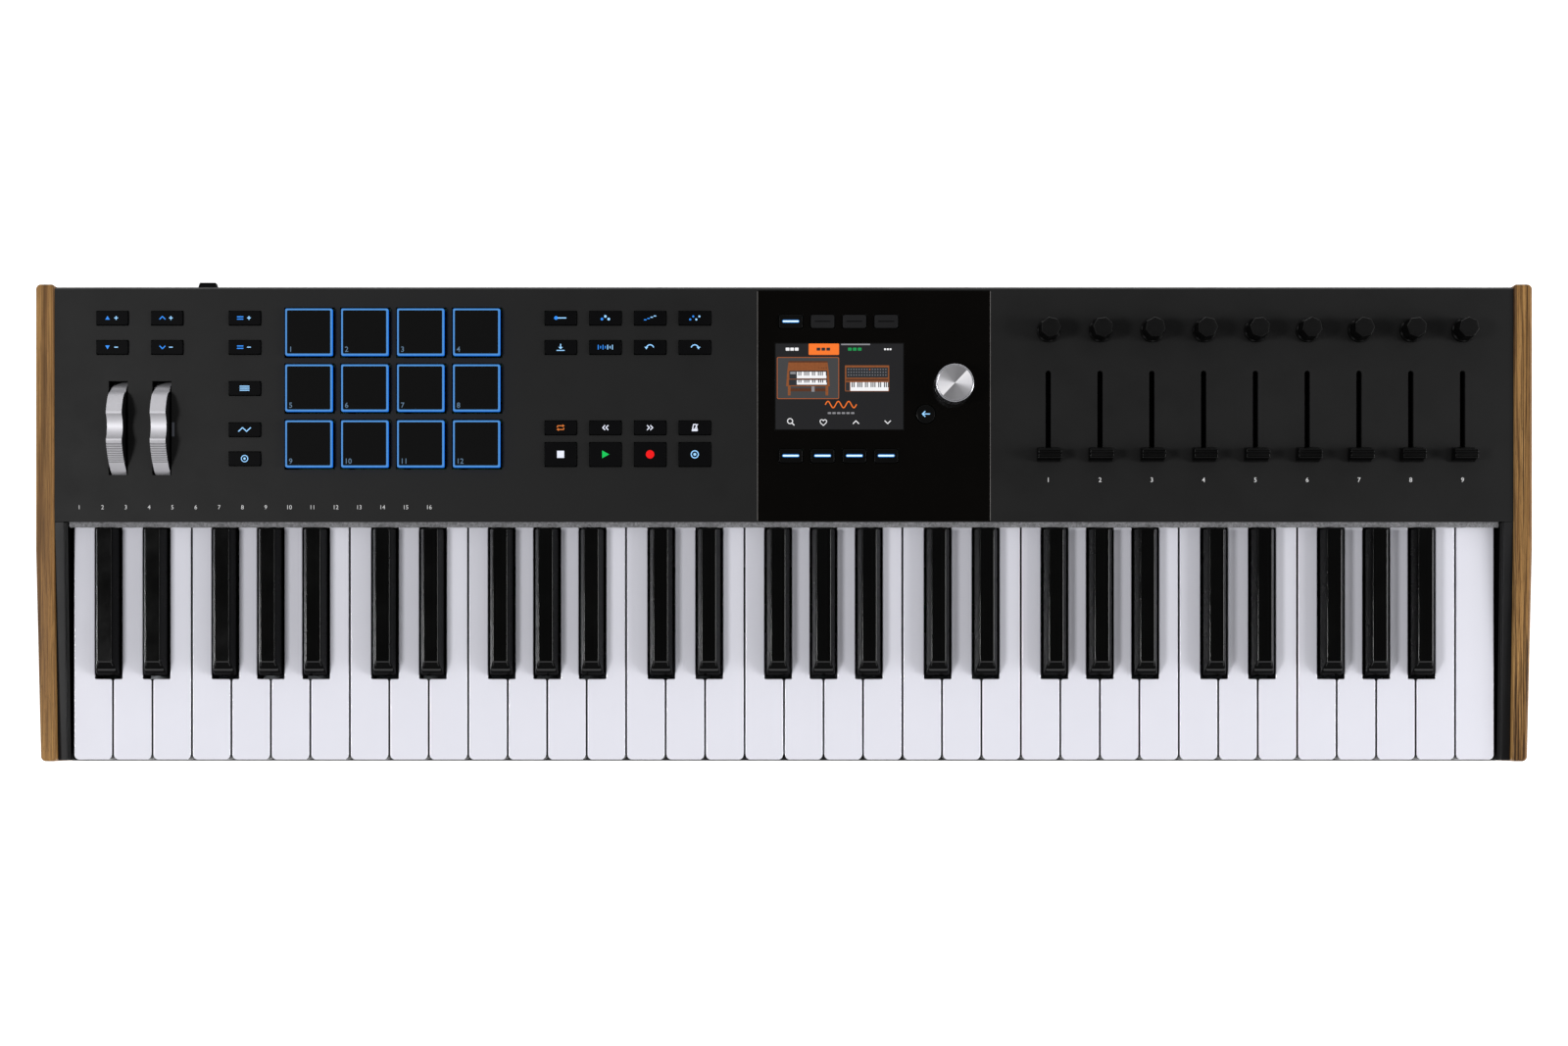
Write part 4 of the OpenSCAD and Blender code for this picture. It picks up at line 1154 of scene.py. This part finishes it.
def picture():
    """A plain menu: tabs, two small keyboard instruments, a wave, a dashed line and four icons."""
    tones = ["back", "tile", "orange", "white", "grey", "green", "wood", "dark", "frame", "wood_dark"]
    back, tile, orange, white, grey, green, brown, dark, frame_line, brown_dark = range(10)
    s = Shape()
    ink = Ink(s, SCREEN_X - SCREEN_W / 2, SCREEN_Y + SCREEN_D / 2, PANEL_Z + 0.04, 0, 0.0)

    def box(x0, y0, x1, y1, m, level, r=0.2):
        """Corners are right and down from the display's upper left; a higher level covers a lower one."""
        ink.bar((x0 + x1) / 2, -(y0 + y1) / 2, x1 - x0, y1 - y0, r, m, 0.01 * level)

    def keys(x0, x1, y0, y1, level):
        """A row of white keys with dark ones on it."""
        box(x0, y0, x1, y1, white, level, 0.1)
        n = round((x1 - x0) / 1.15)
        for q in range(n):
            if q % 7 not in (2, 6):
                xk = x0 + (q + 1) * (x1 - x0) / n
                box(xk - 0.34, y0, xk + 0.26, y0 + (y1 - y0) * 0.58, dark, level + 1, 0.05)

    box(0.3, 0.3, SCREEN_W - 0.3, SCREEN_D - 0.3, back, 0, 0.2)
    box(19.9, 0.3, 37.9, 7.0, orange, 1, 0.5)
    box(39.1, 0.4, 56.3, 1.2, grey, 1, 0.1)
    for k in range(3):
        box(6.3 + 2.7 * k, 2.7, 6.3 + 2.7 * k + 2.2, 4.5, white, 1, 0.3)
        box(24.6 + 2.9 * k, 2.7, 26.8 + 2.9 * k, 4.5, dark, 2, 0.3)
        box(43.2 + 2.9 * k, 2.7, 45.4 + 2.9 * k, 4.5, green, 2, 0.3)
        box(64.6 + 1.6 * k, 3.1, 65.7 + 1.6 * k, 4.2, white, 1, 0.2)
    # the chosen instrument, a two-manual organ in a framed tile
    box(1.1, 8.3, 37.9, 33.1, frame_line, 1, 0.8)
    box(1.5, 8.7, 37.5, 32.7, tile, 2, 0.6)
    ink.fill([(8.0, -10.6), (7.2, -17.0), (6.6, -25.6), (32.4, -25.6), (31.8, -17.0), (31.0, -10.6)][::-1],
             brown, 0.03)
    ink.fill([(8.0, -10.6), (7.8, -11.5), (31.2, -11.5), (31.0, -10.6)][::-1], brown_dark, 0.04)
    for xk in (25.8, 27.2, 28.6, 30.0):
        box(xk, 14.4, xk + 0.6, 14.9, brown_dark, 4, 0.1)
    box(8.4, 16.4, 30.8, 21.2, dark, 4, 0.2)
    keys(12.9, 30.4, 17.0, 20.9, 5)
    box(9.0, 17.0, 12.2, 18.4, grey, 5, 0.2)
    box(8.2, 21.6, 31.0, 25.0, dark, 4, 0.2)
    keys(12.9, 30.6, 21.9, 24.6, 5)
    for xk in (7.6, 29.9):
        box(xk, 25.6, xk + 1.6, 31.0, brown, 3, 0.2)
    box(9.2, 26.8, 29.9, 28.6, brown_dark, 3, 0.1)
    box(21.6, 25.6, 23.4, 28.8, grey, 4, 0.1)
    # a one-manual instrument beside it
    box(41.4, 13.2, 67.6, 28.6, brown, 2, 0.3)
    box(42.2, 14.4, 66.9, 20.5, dark, 3, 0.2)
    for row in range(3):
        for q in range(15):
            tone = orange if (row, q) == (0, 8) else grey
            box(43.2 + 1.58 * q, 15.3 + 1.7 * row, 43.75 + 1.58 * q, 15.85 + 1.7 * row, tone, 4, 0.15)
    box(42.0, 21.2, 67.0, 22.4, brown_dark, 3, 0.1)
    box(41.9, 23.2, 44.2, 28.2, dark, 3, 0.1)
    keys(44.6, 67.1, 23.2, 28.3, 4)
    # an orange wave and a dashed line below it
    wave = [(29.8 + 18.4 * k / 48, -36.4 + 1.9 * sin(TAU * 3 * k / 48)) for k in range(49)]
    ink.line(wave, 0.62, orange, 0.01)
    for k in range(6):
        box(31.2 + 2.75 * k, 40.9, 33.2 + 2.75 * k, 42.0, grey, 1, 0.3)
    # magnifier, heart, up and down
    ink.h = 0.02
    ink.arc(8.9, -46.2, 1.5, 0, 360, 0.5, 24, white)
    ink.line([(10.0, -47.3), (11.3, -48.6)], 0.62, white)
    heart = [(0, -1.9), (-1.5, -0.5), (-2.0, 0.5), (-1.7, 1.3), (-0.9, 1.6), (-0.3, 1.3), (0, 0.8)]
    half = [(28.6 + px, -46.9 + py) for px, py in heart]
    ink.line(half, 0.46, white)
    ink.line([(57.2 - px, py) for px, py in half], 0.46, white)
    ink.line([(46.2, -47.7), (47.9, -46.0), (49.6, -47.7)], 0.55, white)
    ink.line([(65.0, -46.0), (66.7, -47.7), (68.4, -46.0)], 0.55, white)
    s.make("display_picture", "case", ["screen_" + tone for tone in tones], "display", smooth=False)


picture()


# -------- printed numbers and marker, and painted highlight lines at the glass panel's edges

CHANNELS, CHANNEL_X, CHANNEL_PITCH, CHANNEL_Y = 16, -417.4, 13.81, 8.4
FADER_NUMBER_Y = 24.6
MARKER_X, MARKER_Y = -361.7, 54.6

# printed numbers whose material also glows, a painted glow on print
s = Shape()
for k in range(STRIP_N):
    digits(s, str(k + 1), STRIP_X + k * STRIP_PITCH, FADER_NUMBER_Y, 3.8, PANEL_Z, 0, 0.03)
for k in range(CHANNELS):
    digits(s, str(k + 1), CHANNEL_X + k * CHANNEL_PITCH, CHANNEL_Y, 3.5, PANEL_Z, 0, 0.0)
s.make("panel_numbers", "case", ["panel_print_glow"], "panel", smooth=False)

s = Shape()
Ink(s, MARKER_X, MARKER_Y, PANEL_Z, 0).bar(0, 0, 1.5, 8.4, 0.4)
s.make("wheel_marker", "case", ["wheel_mark"], "panel", smooth=False)

# thin pale lines along both long edges of the glass panel: painted highlights for the light its edges catch
lo, hi = node_mm("glass_panel")
s = Shape()
for x in (lo[0] - 0.05, hi[0] + 0.05):
    Ink(s, x, (lo[1] + hi[1]) / 2, PANEL_Z, 0).bar(0, 0, 0.5, hi[1] - lo[1] - 1.0, 0.1)
s.make("glass_edge_lines", "case", ["edge_highlight_line"], "panel", smooth=False)


# -------- floor, light, camera

def floor():
    """A plain pale floor that glows a little, so that it stays even and almost white."""
    mesh = bpy.data.meshes.new("studio_floor")
    half = 6.0
    corners = [(-half, -half, 0), (half, -half, 0), (half, half, 0), (-half, half, 0)]
    mesh.from_pydata(corners, [], [(0, 1, 2, 3)])
    n = Nodes("floor_white")
    soft = n.noise(2.0, 2.0, 0.5)
    tone = n.ramp(soft, [(0.3, grey(0.93)), (0.7, grey(0.95))])
    n.set("Base Color", tone)
    n.set("Roughness", 0.9)
    n.set("Specular IOR Level", 0.1)
    n.set("Emission Color", tone)
    n.set("Emission Strength", 0.6)
    mesh.materials.append(n.mat)
    in_scene("studio_floor", mesh)


def softbox(name, place_m, target, width, height, watts):
    """A rectangular lamp turned to face its target."""
    light = bpy.data.lights.new(name, "AREA")
    light.shape = "RECTANGLE"
    light.size, light.size_y = width, height
    light.energy = watts
    obj = in_scene(name, light)
    obj.location = place_m
    obj.rotation_mode = "QUATERNION"
    obj.rotation_quaternion = (Vector(target) - Vector(place_m)).to_track_quat("-Z", "Y")


def studio_world():
    """Soft light that is bright near the horizon and dark straight above, so glossy tops stay dark."""
    world = bpy.data.worlds.new("studio")
    world.use_nodes = True
    tree = world.node_tree
    background = tree.nodes["Background"]
    direction = tree.nodes.new("ShaderNodeTexCoord")
    split = tree.nodes.new("ShaderNodeSeparateXYZ")
    tree.links.new(direction.outputs["Generated"], split.inputs["Vector"])
    height = tree.nodes.new("ShaderNodeValToRGB")
    stops = height.color_ramp.elements
    stops[0].position, stops[0].color = 0.0, (0.64, 0.64, 0.66, 1)
    stops[1].position, stops[1].color = 1.0, grey(0.03)
    for position, tone in ((0.70, 0.76), (0.93, 0.035)):
        stops.new(position).color = grey(tone)
    tree.links.new(split.outputs["Z"], height.inputs["Fac"])
    tree.links.new(height.outputs["Color"], background.inputs["Color"])
    background.inputs["Strength"].default_value = 1.0
    bpy.context.scene.world = world


floor()
softbox("softbox_left", (-1.58, -0.15, 2.2), (0.1, 0, 0), 0.42, 0.42, 28)
softbox("softbox_right", (2.3, -0.2, 1.2), (0.3, 0, 0), 0.8, 1.2, 36)
studio_world()
bpy.context.scene.view_settings.view_transform = "Standard"

# the camera looks straight down; its lens is shifted, so the point below it is low in the frame
CAMERA_Y, CAMERA_HEIGHT = -0.1206, 1.6
cam_data = bpy.data.cameras.new("camera")
cam_data.sensor_width = 36.0
cam_data.lens = 61.72
cam_data.shift_y = 0.129
cam_data.clip_end = 50
cam = in_scene("camera", cam_data)
cam.location = (0.0, CAMERA_Y, CAMERA_HEIGHT + KEY_TOP * MM)
bpy.context.scene.camera = cam
